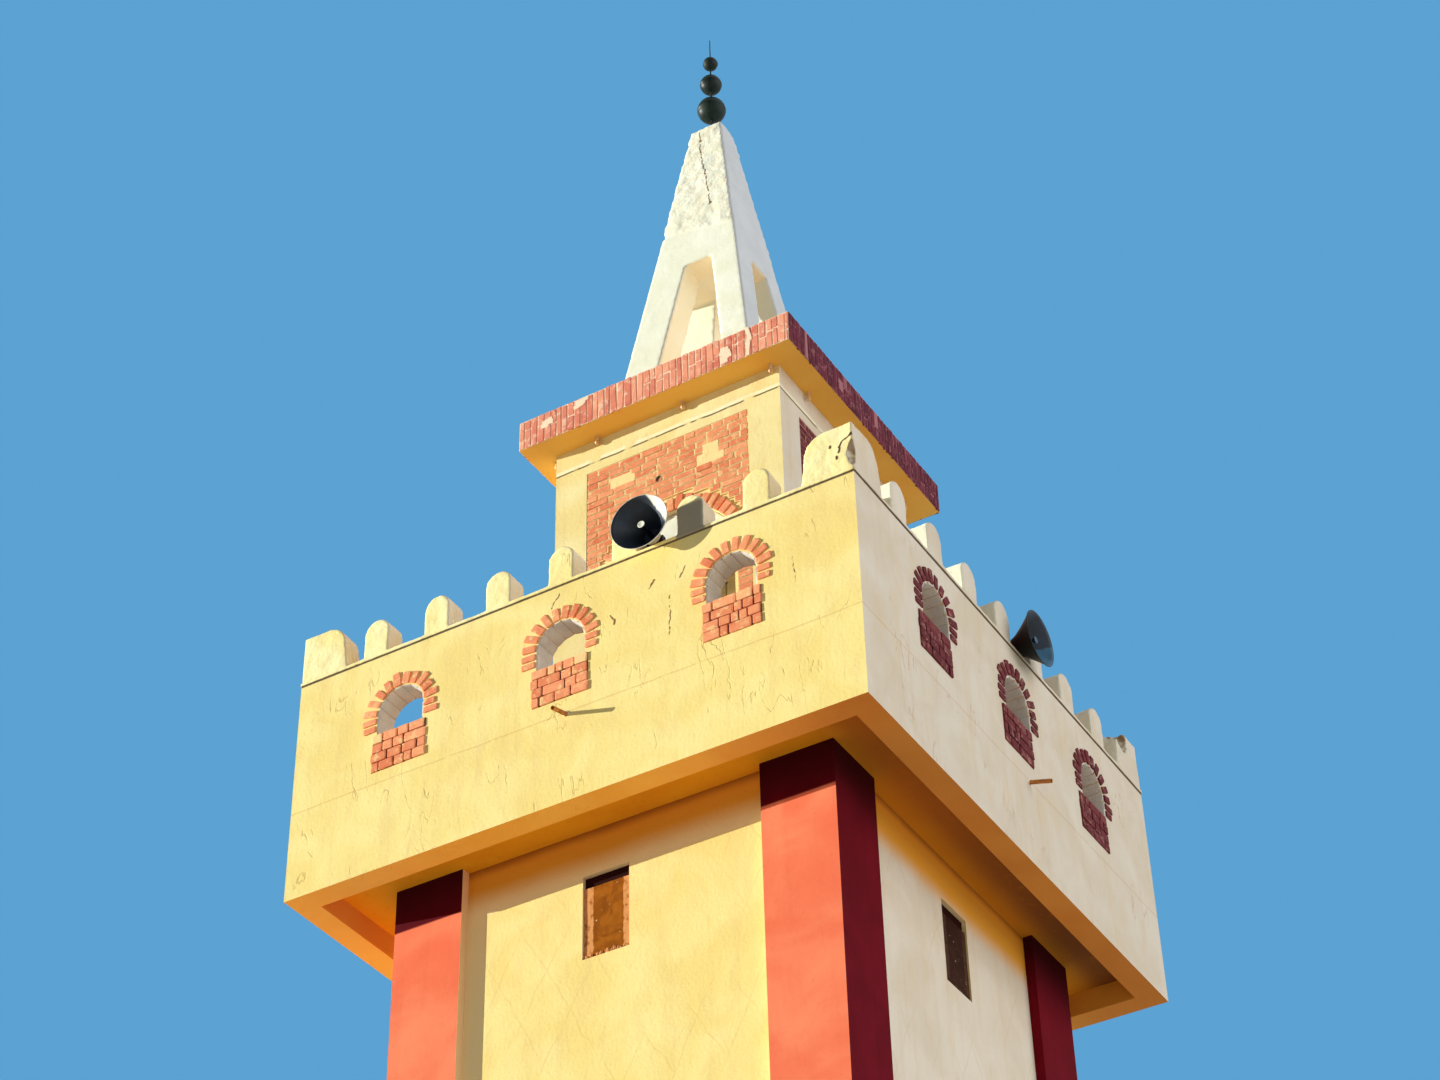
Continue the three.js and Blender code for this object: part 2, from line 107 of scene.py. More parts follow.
# Windows and spouts
WINDOW_TOPS = {"upper": GALLERY - 0.185, "lower": GALLERY - 7.185}
WINDOW_WIDTH = 0.4
WINDOW_HEIGHT = 0.7
WINDOW_CENTRES = by_pair(-0.065, 0.05)
BOARD_RECESS = 0.012
SPOUT_CENTRES = by_pair(0.02, 0.145)
SPOUT_SLOPE = 16
SPOUT_AXIS = GALLERY_FLOOR + 0.025
SPOUT_REACH = 0.19

# Bites out of two corner merlons: the middle and the three half sizes of each
BITES = {
    "front_right": ((GALLERY_FACE + 0.01, -GALLERY_FACE - 0.01, COPING_TOP + 0.145),
                    (0.055, 0.055, 0.12)),
    "back_right": ((GALLERY_FACE, GALLERY_FACE - 0.3, COPING_TOP + 0.36), (0.12, 0.1, 0.12)),
}

# The top of the spire is rough above a line that leans: its height at x = 0, and its fall along x
ROUGH_EDGE = GALLERY + 7.59
ROUGH_EDGE_FALL = 0.27

# Cracks and holes seen on the front, by x and height
PARAPET_CRACKS = [[(-0.126, 16.806), (-0.058, 16.906)], [(0.408, 16.515), (0.442, 16.429)],
                  [(1.011, 16.623), (1.053, 16.713)], [(0.744, 16.645), (0.795, 16.696)],
                  [(1.963, 16.415), (1.977, 16.182)], [(0.926, 16.479), (0.913, 16.132)]]
MERLON_CRACKS = [[(2.5, 17.35), (2.434, 17.315), (2.397, 17.265), (2.386, 17.21)],
                 [(2.319, 17.3), (2.323, 17.29)], [(2.362, 17.17), (2.364, 17.155)]]
BRICK_HOLES = [[(-0.05, 19.064), (-0.042, 19.076)]]
SPIRE_CRACKS = [[(-0.105, 24.12), (-0.08, 23.82), (0.017, 23.33), (0.09, 22.91)]]


# Tools for shaping a piece

def deselect_all():
    bpy.ops.object.select_all(action="DESELECT")


def take(piece):
    """Makes a piece the one that the next tool works on."""
    deselect_all()
    piece.select_set(True)
    bpy.context.view_layer.objects.active = piece


def settle(piece):
    """Puts a piece's place, turn and size into its mesh."""
    take(piece)
    bpy.ops.object.transform_apply(location=True, rotation=True, scale=True)
    return piece


def named(piece, name):
    piece.name = name
    piece.data.name = name
    return piece


def copy_of(piece):
    """A second piece with a mesh of its own."""
    made = piece.copy()
    made.data = piece.data.copy()
    bpy.context.scene.collection.objects.link(made)
    return made


def block(name, low, high):
    """A cube primitive stretched between two corners, as a start for a piece."""
    deselect_all()
    bpy.ops.mesh.primitive_cube_add(size=1)
    piece = named(bpy.context.object, name)
    piece.location = [(a + b) / 2 for a, b in zip(low, high)]
    piece.scale = [b - a for a, b in zip(low, high)]
    return settle(piece)


def edit(piece, kind="FACE", wanted=None):
    """Opens a piece in edit mode with the faces, edges or points that pass a test selected."""
    take(piece)
    bpy.ops.object.mode_set(mode="EDIT")
    bpy.ops.mesh.select_mode(type=kind)
    bpy.ops.mesh.select_all(action="SELECT" if wanted is None else "DESELECT")
    if wanted is not None:
        mesh = bmesh.from_edit_mesh(piece.data)
        parts = {"VERT": mesh.verts, "EDGE": mesh.edges, "FACE": mesh.faces}[kind]
        for part in parts:
            if wanted(part):
                part.select_set(True)
        mesh.select_flush_mode()
        bmesh.update_edit_mesh(piece.data)


def close():
    bpy.ops.object.mode_set(mode="OBJECT")


def soften(piece, width, segments=2):
    """Bevels all the edges of a piece."""
    edit(piece, "EDGE")
    bpy.ops.mesh.bevel(offset=width, segments=segments, affect="EDGES")
    close()
    return piece


def modify(piece, kind, **settings):
    """Adds a modifier to a piece and applies it."""
    take(piece)
    modifier = piece.modifiers.new(kind, kind)
    for setting, value in settings.items():
        setattr(modifier, setting, value)
    bpy.ops.object.modifier_apply(modifier=modifier.name)
    return piece


def lumps(piece, size, height, group=""):
    """Pushes a surface in and out by soft lumps of one size."""
    cloud = bpy.data.textures.new("lumps", "CLOUDS")
    cloud.noise_scale = size
    return modify(piece, "DISPLACE", texture=cloud, strength=height, mid_level=0.5,
                  texture_coords="LOCAL", vertex_group=group)


def join(name, parts):
    """Makes one piece of many."""
    deselect_all()
    for part in parts:
        part.select_set(True)
    bpy.context.view_layer.objects.active = parts[0]
    bpy.ops.object.join()
    return settle(named(bpy.context.object, name))


def smooth(piece, angle=35):
    take(piece)
    bpy.ops.object.shade_smooth_by_angle(angle=math.radians(angle))
    return piece


def on_side(piece, side):
    """Turns a piece that was drawn on the front to its own side of the tower."""
    piece.rotation_euler.z = SIDES[side]
    return settle(piece)


def on_upper_stage(piece, side):
    """Turns a piece to its side of the upper stage, which stands a little off the tower's axis."""
    piece.location = (UPPER_SHIFT, UPPER_SHIFT, 0)
    return on_side(piece, side)


def turned(name, profile, segments=48, ends=True):
    """A round piece about Z: a ring is extruded and resized along a list of (radius, height)."""
    (radius, height), *others = profile
    deselect_all()
    bpy.ops.mesh.primitive_circle_add(vertices=segments, radius=radius, location=(0, 0, height))
    piece = named(bpy.context.object, name)
    settle(piece)
    edit(piece, "VERT")
    if ends:
        bpy.ops.mesh.edge_face_add()
    for next_radius, next_height in others:
        rise = (0, 0, next_height - height)
        bpy.ops.mesh.extrude_region_move(TRANSFORM_OT_translate={"value": rise})
        share = next_radius / radius
        bpy.ops.transform.resize(value=(share, share, 1), center_override=(0, 0, next_height))
        radius, height = next_radius, next_height
    close()
    edit(piece, "VERT")
    bpy.ops.mesh.remove_doubles(threshold=1e-5)
    bpy.ops.mesh.normals_make_consistent(inside=False)
    close()
    return piece


def weathered(node, name, voxel, roughness, chips=()):
    """A hand-plastered copy of a node: soft arrises, uneven faces, and bites out of it."""
    deselect_all()
    piece = copy_of(cad[node])
    piece.parent = None
    for key in list(piece.keys()):
        del piece[key]
    named(piece, name)
    piece.data.materials.clear()
    edit(piece, "VERT")
    bpy.ops.mesh.remove_doubles(threshold=1e-4)
    close()
    for place, size in chips:
        bpy.ops.mesh.primitive_ico_sphere_add(subdivisions=4, radius=1, location=place)
        bite = bpy.context.object
        bite.scale = size
        settle(bite)
        lumps(bite, max(size) * 0.8, min(size) * 0.7)
        lumps(bite, 0.02, 0.012)
        modify(piece, "BOOLEAN", object=bite, operation="DIFFERENCE", solver="EXACT")
        bpy.data.objects.remove(bite)
    true_shape = copy_of(piece)
    modify(piece, "REMESH", mode="VOXEL", voxel_size=voxel, use_smooth_shade=True)
    modify(piece, "SHRINKWRAP", target=true_shape)
    modify(piece, "SMOOTH", factor=0.5, iterations=3)
    bpy.data.objects.remove(true_shape)
    lumps(piece, 0.18, roughness)
    return lumps(piece, 0.04, roughness * 0.4)


def set_tone(piece, tone):
    """Gives every point of a piece its tone: one number, or what a rule makes of its place."""
    points = piece.data.vertices
    tones = [tone(point.co) for point in points] if callable(tone) else [tone] * len(points)
    if "tone" not in piece.data.attributes:
        piece.data.attributes.new("tone", "FLOAT", "POINT")
    piece.data.attributes["tone"].data.foreach_set("value", tones)
    return piece


# Materials

def paint(*screen_colour):
    """A colour as a screen shows it, 0 to 255, as the linear colour that a shader takes."""
    def linear(value):
        share = value / 255
        return share / 12.92 if share <= 0.04045 else ((share + 0.055) / 1.055) ** 2.4
    return (*map(linear, screen_colour), 1.0)


class Recipe:
    """A node tree that is put together step by step."""

    def __init__(self, tree):
        self.tree = tree

    def node(self, kind, inputs=None, **settings):
        made = self.tree.nodes.new(kind)
        for setting, value in settings.items():
            setattr(made, setting, value)
        for name, value in (inputs or {}).items():
            self.set(made.inputs[name], value)
        return made

    def set(self, socket, value):
        if isinstance(value, bpy.types.NodeSocket):
            self.tree.links.new(value, socket)
        else:
            socket.default_value = paint(*value) if socket.type == "RGBA" else value

    def math(self, operation, a, b=0.0, c=0.0):
        return self.node("ShaderNodeMath", {0: a, 1: b, 2: c}, operation=operation).outputs[0]

    def times(self, a, b):
        return self.math("MULTIPLY", a, b)

    def times_plus(self, a, b, c):
        return self.math("MULTIPLY_ADD", a, b, c)

    def below(self, value, limit):
        return self.math("LESS_THAN", value, limit)

    def between(self, value, low, high):
        """0 at low, 1 at high, and smooth between them, whichever of the two is the greater."""
        inputs = {"Value": value, "From Min": low, "From Max": high}
        return self.node("ShaderNodeMapRange", inputs, interpolation_type="SMOOTHSTEP").outputs[0]

    def mix(self, share, a, b):
        return self.node("ShaderNodeMix", {0: share, 6: a, 7: b}, data_type="RGBA").outputs[2]

    def vector(self, operation, a, b=(0, 0, 0), c=(0, 0, 0)):
        made = self.node("ShaderNodeVectorMath", {0: a, 1: b, 2: c}, operation=operation)
        gives_number = operation in ("DOT_PRODUCT", "DISTANCE", "LENGTH")
        return made.outputs["Value" if gives_number else "Vector"]

    def scaled(self, vector, scale):
        inputs = {0: vector, "Scale": scale}
        return self.node("ShaderNodeVectorMath", inputs, operation="SCALE").outputs[0]

    def apart(self, vector):
        return self.node("ShaderNodeSeparateXYZ", {0: vector}).outputs


class Finish(Recipe):
    """A material with one Principled shader: a ground colour, with coats laid over it."""

    def __init__(self, name, roughness=0.9, metallic=0.0, specular=0.3):
        self.material = bpy.data.materials.new(name)
        self.material.use_nodes = True
        super().__init__(self.material.node_tree)
        self.tree.nodes.clear()
        surface = {"Roughness": roughness, "Metallic": metallic, "Specular IOR Level": specular}
        self.shader = self.node("ShaderNodeBsdfPrincipled", surface)
        self.node("ShaderNodeOutputMaterial", {"Surface": self.shader.outputs[0]})
        source = self.node("ShaderNodeTexCoord").outputs
        self.place, self.facing = source["Object"], source["Normal"]
        self.x, self.y, self.z = self.apart(self.place)
        self.facing_x, self.facing_y, facing_z = self.apart(self.facing)
        self.downwards = self.between(facing_z, -0.5, -0.9)
        self.colour = None

    def coat(self, tint, mask, share=None):
        """Lays a tint over the colour so far, where a mask is 1 and as strong as its share."""
        if share is not None:
            mask = self.times(mask, share)
        self.colour = self.mix(mask, self.colour, tint)

    def finish(self, lift=None, depth=0.004, strength=0.6):
        """Gives the shader its colour, and its bumps where there is a lift."""
        self.set(self.shader.inputs["Base Color"], self.colour)
        if lift is not None:
            inputs = {"Height": lift, "Distance": depth, "Strength": strength}
            self.set(self.shader.inputs["Normal"], self.node("ShaderNodeBump", inputs).outputs[0])
        return self.material

    def stretched(self, *scale):
        return self.vector("MULTIPLY", self.place, scale)

    def noise(self, scale, detail=3.0, distortion=0.0, place=None):
        place = self.place if place is None else place
        inputs = {"Vector": place, "Scale": scale, "Detail": detail, "Distortion": distortion}
        return self.node("ShaderNodeTexNoise", inputs).outputs["Fac"]

    def tone(self):
        """The tone that set_tone gave to each point."""
        return self.node("ShaderNodeAttribute", attribute_name="tone").outputs["Fac"]

    def mottling(self, scale=1.0):
        """Broad patches and fine grain."""
        place = self.scaled(self.place, scale)
        broad = self.noise(1.3, 4.0, 0.6, place)
        return self.between(broad, 0.3, 0.7), self.noise(22.0, 5.0, 0.0, place)

    def streaks(self):
        """Runs of rain down a wall."""
        return self.between(self.noise(9.0, 5.0, 0.0, self.stretched(1.0, 1.0, 0.07)), 0.48, 0.78)

    def painted_sunlit_side(self):
        """1 on the sides that the sun reaches, front and left, and 0 on the other two: it picks
        between colours painted as sunlit and colours painted as shade.
        """
        to_sun = self.vector("DOT_PRODUCT", self.facing, (-0.85, -0.53, 0.0))
        return self.between(to_sun, -0.15, 0.35)

    def hairlines(self, share, scale=5.0):
        """Short upright cracks: the level lines of a tall noise, shown only in some places."""
        tall = self.noise(scale, 4.0, 0.8, self.stretched(1.0, 1.0, 0.22))
        level = self.math("ABSOLUTE", self.math("SUBTRACT", tall, 0.5))
        shown = self.between(self.noise(2.6, 3.0), 0.75 - share, 0.8 - share)
        return self.times(self.between(level, 0.01, 0.0), shown)

    def lattice(self, spacing=0.42):
        """Faint crossing lines at a slant, as fine shrinkage cracks follow the lath behind."""
        along = self.times_plus(self.noise(2.2, 3.0), 0.16, self.math("ADD", self.x, self.y))
        rise = self.times(self.z, 0.55)
        lines = []
        for operation in ("ADD", "SUBTRACT"):
            slanted = self.math(operation, along, rise)
            step = self.math("PINGPONG", self.math("DIVIDE", slanted, spacing), 0.5)
            lines.append(self.between(step, 0.03, 0.0))
        where = self.between(self.noise(1.1, 3.0), 0.45, 0.6)
        return self.times(self.math("MAXIMUM", *lines), where)

    def cracked(self, lines, tint, width=0.012):
        """Lays single wandering cracks over the faces to the front, each a chain of (x, z)."""
        flat = self.stretched(1, 0, 1)
        waver = {"Vector": flat, "Scale": 16.0, "Detail": 4.0}
        stray = self.node("ShaderNodeTexNoise", waver).outputs["Color"]
        bent = self.vector("MULTIPLY_ADD", stray, (0.06, 0.06, 0.06), flat)
        bent = self.vector("SUBTRACT", bent, (0.03, 0.03, 0.03))
        mark = 0.0
        for points in lines:
            for (x0, z0), (x1, z1) in zip(points, points[1:]):
                span = Vector((x1 - x0, 0, z1 - z0))
                offset = self.vector("SUBTRACT", bent, (x0, 0, z0))
                along = self.vector("DOT_PRODUCT", offset, span / span.length_squared)
                share = self.math("MINIMUM", self.math("MAXIMUM", along, 0.0), 1.0)
                distance = self.vector("DISTANCE", offset, self.scaled(span, share))
                mark = self.math("MAXIMUM", mark, self.between(distance, width, width * 0.4))
        self.coat(tint, mark, self.between(self.facing_y, -0.3, -0.6))


# Yellow plaster colours: painted as sunlit, and painted as in shade
PAINTED_SUNLIT_YELLOW = ((242, 214, 128), (248, 226, 148))
PAINTED_SHADE_YELLOW = ((224, 206, 176), (232, 217, 192))


def yellow_plaster(name, sunny, shady, lattice=0.0, cracks=0.1, joints=(), lines=()):
    """Painted plaster, in a brighter colour painted as sunlit on the sides toward the sun and a
    duller colour painted as shade on the others.

    A joint is a broken line round the tower: its height, thickness, strength and colour.
    """
    f = Finish(name)
    patches, grain = f.mottling(1.6)
    # The colour painted as sunlit or as shade is picked by the side a face looks to
    f.colour = f.mix(f.painted_sunlit_side(), f.mix(patches, *shady), f.mix(patches, *sunny))
    worn = f.noise(7.0, 6.0, 0.6, f.stretched(1.0, 1.0, 0.35))
    f.coat((226, 190, 128), f.between(worn, 0.5, 0.72), 0.22)
    f.coat((216, 172, 108), f.streaks(), 0.18)
    f.coat((200, 156, 92), f.between(grain, 0.6, 0.8), 0.16)
    if lattice:
        f.coat((196, 150, 78), f.lattice(), lattice)
    crack = f.hairlines(cracks)
    f.coat((186, 132, 66), crack, 0.36)
    f.cracked(lines, (132, 88, 50), 0.01)
    ragged = f.times_plus(f.noise(3.0), 0.03, f.z)
    for level, thickness, strength, tint in joints:
        distance = f.math("ABSOLUTE", f.math("SUBTRACT", ragged, level + 0.015))
        broken = f.between(f.noise(6.0, 2.0), 0.28, 0.42)
        mark = f.between(distance, thickness, thickness * 0.3)
        f.coat(tint, f.times(mark, broken), strength)
    lift = f.math("SUBTRACT", f.times_plus(patches, 0.8, grain), crack)
    return f, lift


def gallery_plaster():
    """The parapets' plaster, with a dark line painted under the coping as its shade, and orange
    painted underneath for warm light bounced up from below.
    """
    joint = (GALLERY + 0.78, 0.01, 0.35, (204, 152, 92))
    f, lift = yellow_plaster("yellow_plaster_gallery", PAINTED_SUNLIT_YELLOW, PAINTED_SHADE_YELLOW, 0.05, 0.2,
                             [joint], PARAPET_CRACKS)
    # Painted shade: a dark line in the crease under the coping
    f.coat((84, 68, 50), f.between(f.z, PARAPET_TOP - 0.013, PARAPET_TOP - 0.009), 0.9)
    # Painted bounce light: the beam's inner faces and the undersides are orange for warm light from
    # below, brighter at the front and duller towards the right
    out = f.math("MAXIMUM", f.math("ABSOLUTE", f.x), f.math("ABSOLUTE", f.y))
    inside_beam = f.times(f.below(f.z, GALLERY + 0.21), f.below(out, GALLERY_FACE - 0.05))
    f.coat((228, 144, 4), inside_beam, 0.9)
    patches = f.mottling()[0]
    bright = f.mix(patches, (244, 170, 64), (250, 182, 78))
    dull = f.mix(patches, (208, 126, 42), (218, 138, 52))
    f.coat(f.mix(f.between(f.x, 0.6, 2.4), bright, dull), f.downwards)
    return f.finish(lift, 0.006, 0.45)


def shaft_plaster():
    """The shaft's plaster, with orange painted close under the gallery for light bounced off the
    soffit, painted shade at the very top, and its shadows on the front lightened with paint.
    """
    shady = ((230, 212, 182), (238, 224, 197))
    f, lift = yellow_plaster("yellow_plaster_shaft", PAINTED_SUNLIT_YELLOW, shady, 0.18, 0.05)
    # Painted light: pale tan lifts the gallery's shadow band and the left pier's cast shadow on the
    # front
    top = f.between(f.z, GALLERY - 0.232, GALLERY - 0.215)
    left_edge = f.between(f.x, -1.105, -1.125)
    f.coat((255, 228, 164), f.math("MAXIMUM", top, left_edge), f.between(f.facing_y, -0.5, -0.8))
    # Painted bounce light: an orange band under the gallery, paler orange on the shaded sides
    painted_sunlit_side = f.painted_sunlit_side()
    rough_height = f.times_plus(f.noise(2.0), 0.05, f.z)
    painted_bounce_band = f.between(f.times_plus(painted_sunlit_side, -0.09, rough_height), GALLERY - 0.28, GALLERY - 0.03)
    f.coat(f.mix(painted_sunlit_side, (255, 174, 20), (224, 150, 4)), painted_bounce_band, 0.95)
    # Dark brown at the top of the wall under the soffit: painted shade in the corner, and grime
    f.coat((140, 66, 4), f.between(rough_height, GALLERY + 0.13, GALLERY + 0.24), 0.75)
    return f.finish(lift, 0.006, 0.45)


def upper_plaster():
    """The upper stage's plaster, a little paler, with an open joint under the roof slab and a
    painted highlight on the ledge just above it.
    """
    # A pale line just above the joint: a painted highlight on the ledge
    ledge_highlight = (GALLERY + 4.556, 0.03, 0.8, (253, 243, 200))
    joint = (GALLERY + 4.53, 0.013, 1.0, (110, 92, 58))
    sunny = ((240, 216, 142), (246, 228, 164))
    f, lift = yellow_plaster("yellow_plaster_upper", sunny, PAINTED_SHADE_YELLOW, 0.0, 0.06, [ledge_highlight, joint])
    return f.finish(lift, 0.006, 0.45)


def merlon_plaster():
    """The paler plaster of the coping and merlons: brown in the bites, with painted shade
    underneath and in the front horn's shadow, and the right row's front faces painted lighter as
    sunlit.
    """
    sunny = ((250, 228, 148), (254, 241, 180))
    f, lift = yellow_plaster("yellow_plaster_merlons", sunny, PAINTED_SHADE_YELLOW, 0.0, 0.12)
    f.cracked(MERLON_CRACKS, (84, 54, 32), 0.017)
    towards_front = f.between(f.facing_y, -0.3, -0.7)
    # Painted light: the right row's front faces are painted paler, as if sunlit, where the upper
    # stage shades them
    right_row = f.times(f.math("GREATER_THAN", f.x, 2.2), f.math("GREATER_THAN", f.y, -2.05))
    f.coat((252, 247, 218), right_row, towards_front)
    # Painted shadow: grey on the merlon beside the front horn, where its shadow falls
    painted_horn_shadow = f.times(f.between(f.x, 0.98, 1.0), f.between(f.x, 1.25, 1.23))
    painted_horn_shadow = f.times(painted_horn_shadow, f.between(f.z, COPING_TOP + 0.29, COPING_TOP + 0.25))
    f.coat((160, 150, 128), painted_horn_shadow, towards_front)
    rough = f.noise(30.0, 3.0)
    for middle, size in BITES.values():
        offset = f.vector("DIVIDE", f.vector("SUBTRACT", f.place, middle), size)
        reach = f.times_plus(rough, 0.2, f.vector("LENGTH", offset))
        f.coat((150, 118, 80), f.between(reach, 1.25, 1.1), 0.85)
    # Painted shade: undersides are darker
    f.coat((120, 96, 66), f.downwards)
    return f.finish(lift, 0.006, 0.6)


def red_plaster():
    """Red paint on the piers: a lighter red painted as sunlit on their outer faces below the
    gallery's shadow line, and a darker red painted as shade elsewhere, darkest close under the
    gallery.
    """
    f = Finish("red_plaster", specular=0.1)
    patches, grain = f.mottling(1.4)
    streak = f.streaks()
    f.colour = f.mix(patches, (238, 114, 78), (248, 138, 98))
    f.coat((206, 92, 66), streak, 0.14)
    sunny = f.colour
    # Painted shade: the darker red, deepest just under the gallery
    f.colour = f.mix(patches, (102, 2, 16), (116, 6, 24))
    f.coat((84, 0, 10), streak, 0.3)
    f.coat((36, 0, 6), f.between(f.z, GALLERY - 0.5, GALLERY + 0.2), 0.8)
    # Painted light: the lighter red only below the gallery's shadow edge on the sunlit outer faces
    outer = f.below(f.math("MINIMUM", f.x, f.y), -1.85)
    lit = f.between(f.z, GALLERY - 0.165, GALLERY - 0.185)
    f.coat(sunny, f.times(f.painted_sunlit_side(), outer), lit)
    f.coat((242, 206, 156), f.below(f.math("ABSOLUTE", f.x), PIER_REVEAL))
    f.coat((140, 34, 32), f.between(grain, 0.6, 0.8), 0.1)
    return f.finish(grain, 0.004, 0.4)


def white_plaster():
    """Limewash, patchy and rough where the top of the spire was plastered again."""
    f = Finish("white_plaster")
    patches, grain = f.mottling(2.0)
    # Cream painted as sunlit on the sides toward the sun, grey painted as shade on the others
    sunny = f.mix(patches, (234, 231, 204), (241, 239, 218))
    shady = f.mix(patches, (206, 206, 200), (216, 216, 210))
    f.colour = f.mix(f.painted_sunlit_side(), shady, sunny)
    # Painted bounce light: the opening's left reveal and the undersides low on the spire are warmer
    reveal = f.times(f.between(f.facing_x, 0.5, 0.8), f.below(f.x, SPIRE_SHIFT))
    underneath = f.times(f.downwards, f.below(f.z, SPIRE_WAIST))
    f.coat(f.mix(patches, (252, 234, 200), (255, 243, 218)), f.math("MAXIMUM", reveal, underneath))
    edge = f.times_plus(f.x, -ROUGH_EDGE_FALL, f.times_plus(f.noise(6.0), 0.06, ROUGH_EDGE - 0.03))
    above = f.between(f.math("SUBTRACT", f.z, edge), 0.0, 0.02)
    rough = f.times(above, f.between(f.facing_x, 0.6, 0.5))
    f.coat((240, 214, 176), f.times(f.between(f.noise(9.0, 5.0, 1.0), 0.42, 0.7), rough), 0.4)
    f.coat((176, 146, 108), f.times(f.hairlines(0.3, 7.0), rough), 0.3)
    f.cracked(SPIRE_CRACKS, (128, 104, 80))
    return f.finish(f.times(grain, f.times_plus(rough, 0.7, 0.5)), 0.008, 0.6)


def soffit_plaster(name, dark, light, grit, painted_shade_share=0.0):
    """Orange on undersides, which on the gallery is painted for warm light bounced up from below,
    with darker brown painted as shade towards the right and the back.
    """
    f = Finish(name)
    patches, grain = f.mottling()
    f.colour = f.mix(patches, dark, light)
    # Painted shade: darker brown towards the right and the back
    if painted_shade_share:
        brown = f.mix(f.between(f.y, -1.8, 1.2), (178, 96, 6), (118, 64, 14))
        f.coat(brown, f.between(f.x, 1.7, 2.1), painted_shade_share)
    f.coat(grit, f.between(grain, 0.55, 0.8), 0.3)
    return f.finish(grain, 0.003, 0.4)


def painted_brick(name, dark, light, pale, holes=()):
    """Brick by its tone, from dark to light; the highest is lime, and -1 is a raked joint."""
    f = Finish(name, roughness=0.88)
    tone = f.tone()
    patches, grain = f.mottling(7.0)
    f.colour = f.mix(f.times_plus(patches, 0.35, f.times(tone, 0.75)), dark, light)
    smear = f.times(f.between(f.noise(16.0, 5.0, 0.8), 0.52, 0.7), 0.55)
    f.coat(pale, smear)
    f.coat(pale, f.between(tone, 0.93, 0.97))
    f.coat(f.mix(patches, (96, 46, 30), (146, 84, 56)), f.below(tone, -0.5))
    # Painted shade: holes are dark spots, the shade inside them painted
    f.cracked(holes, (30, 16, 14), 0.03)
    return f.finish(f.times_plus(smear, 0.6, grain), 0.005, 0.8)


def bare_concrete(name, dark, light, grit):
    f = Finish(name)
    patches, grain = f.mottling(2.5)
    f.colour = f.mix(patches, dark, light)
    f.coat(grit, f.between(grain, 0.55, 0.75), 0.4)
    return f.finish(grain, 0.005, 0.7)


def brown_boards(name, dark, light, edge):
    """A varnished sheet, pale where the tone says that wet has lifted it; a tone of -1 is the gap
    above it, painted near black as its shade.
    """
    f = Finish(name, roughness=0.8, specular=0.05)
    grain = f.noise(1.0, 6.0, 0.8, f.stretched(16.0, 16.0, 3.0))
    blotches = f.between(f.noise(7.0, 3.0, 0.8), 0.42, 0.62)
    f.colour = f.mix(f.times_plus(blotches, 0.4, f.times(grain, 0.6)), dark, light)
    worn = f.tone()
    f.coat(edge, f.between(f.times_plus(f.noise(22.0, 4.0), 0.7, worn), 0.78, 0.98), 0.85)
    f.coat((226, 196, 150), f.between(f.noise(32.0, 2.0), 0.71, 0.75), 0.8)
    # Painted shade: the gap at the top is near black
    f.coat((44, 14, 8), f.below(worn, -0.5))
    return f.finish(grain, 0.002, 0.5)


def worn_paint(name, light, dark, under, roughness, metallic=0.0, scale=6.0, chips=0.72,
               specular=0.5):
    """Paint on metal or wood, dulled in patches and chipped through to what is under it."""
    f = Finish(name, roughness, metallic, specular)
    patches, grain = f.mottling(scale)
    chipped = f.between(f.noise(scale * 6.0, 4.0, 0.5), chips, chips + 0.03)
    f.colour = f.mix(patches, dark, light)
    f.coat(under, chipped, 0.9)
    shine = f.times_plus(patches, 0.18, f.times_plus(chipped, 0.2, roughness - 0.09))
    f.set(f.shader.inputs["Roughness"], shine)
    return f.finish(f.times_plus(chipped, -1.0, f.times(grain, 0.3)), 0.002, 0.6)


def horn_lining(name, pale, palest):
    """Dark paint inside a horn, with a paler colour where its tone says so: painted light on a
    lining's sunlit crescent, and the nose's pale tip.
    """
    f = Finish(name, roughness=0.45, specular=0.5)
    patches, grain = f.mottling(5.0)
    f.colour = f.mix(patches, (12, 20, 28), (22, 40, 56))
    f.coat(f.mix(patches, pale, palest), f.tone())
    return f.finish(grain, 0.001, 0.4)


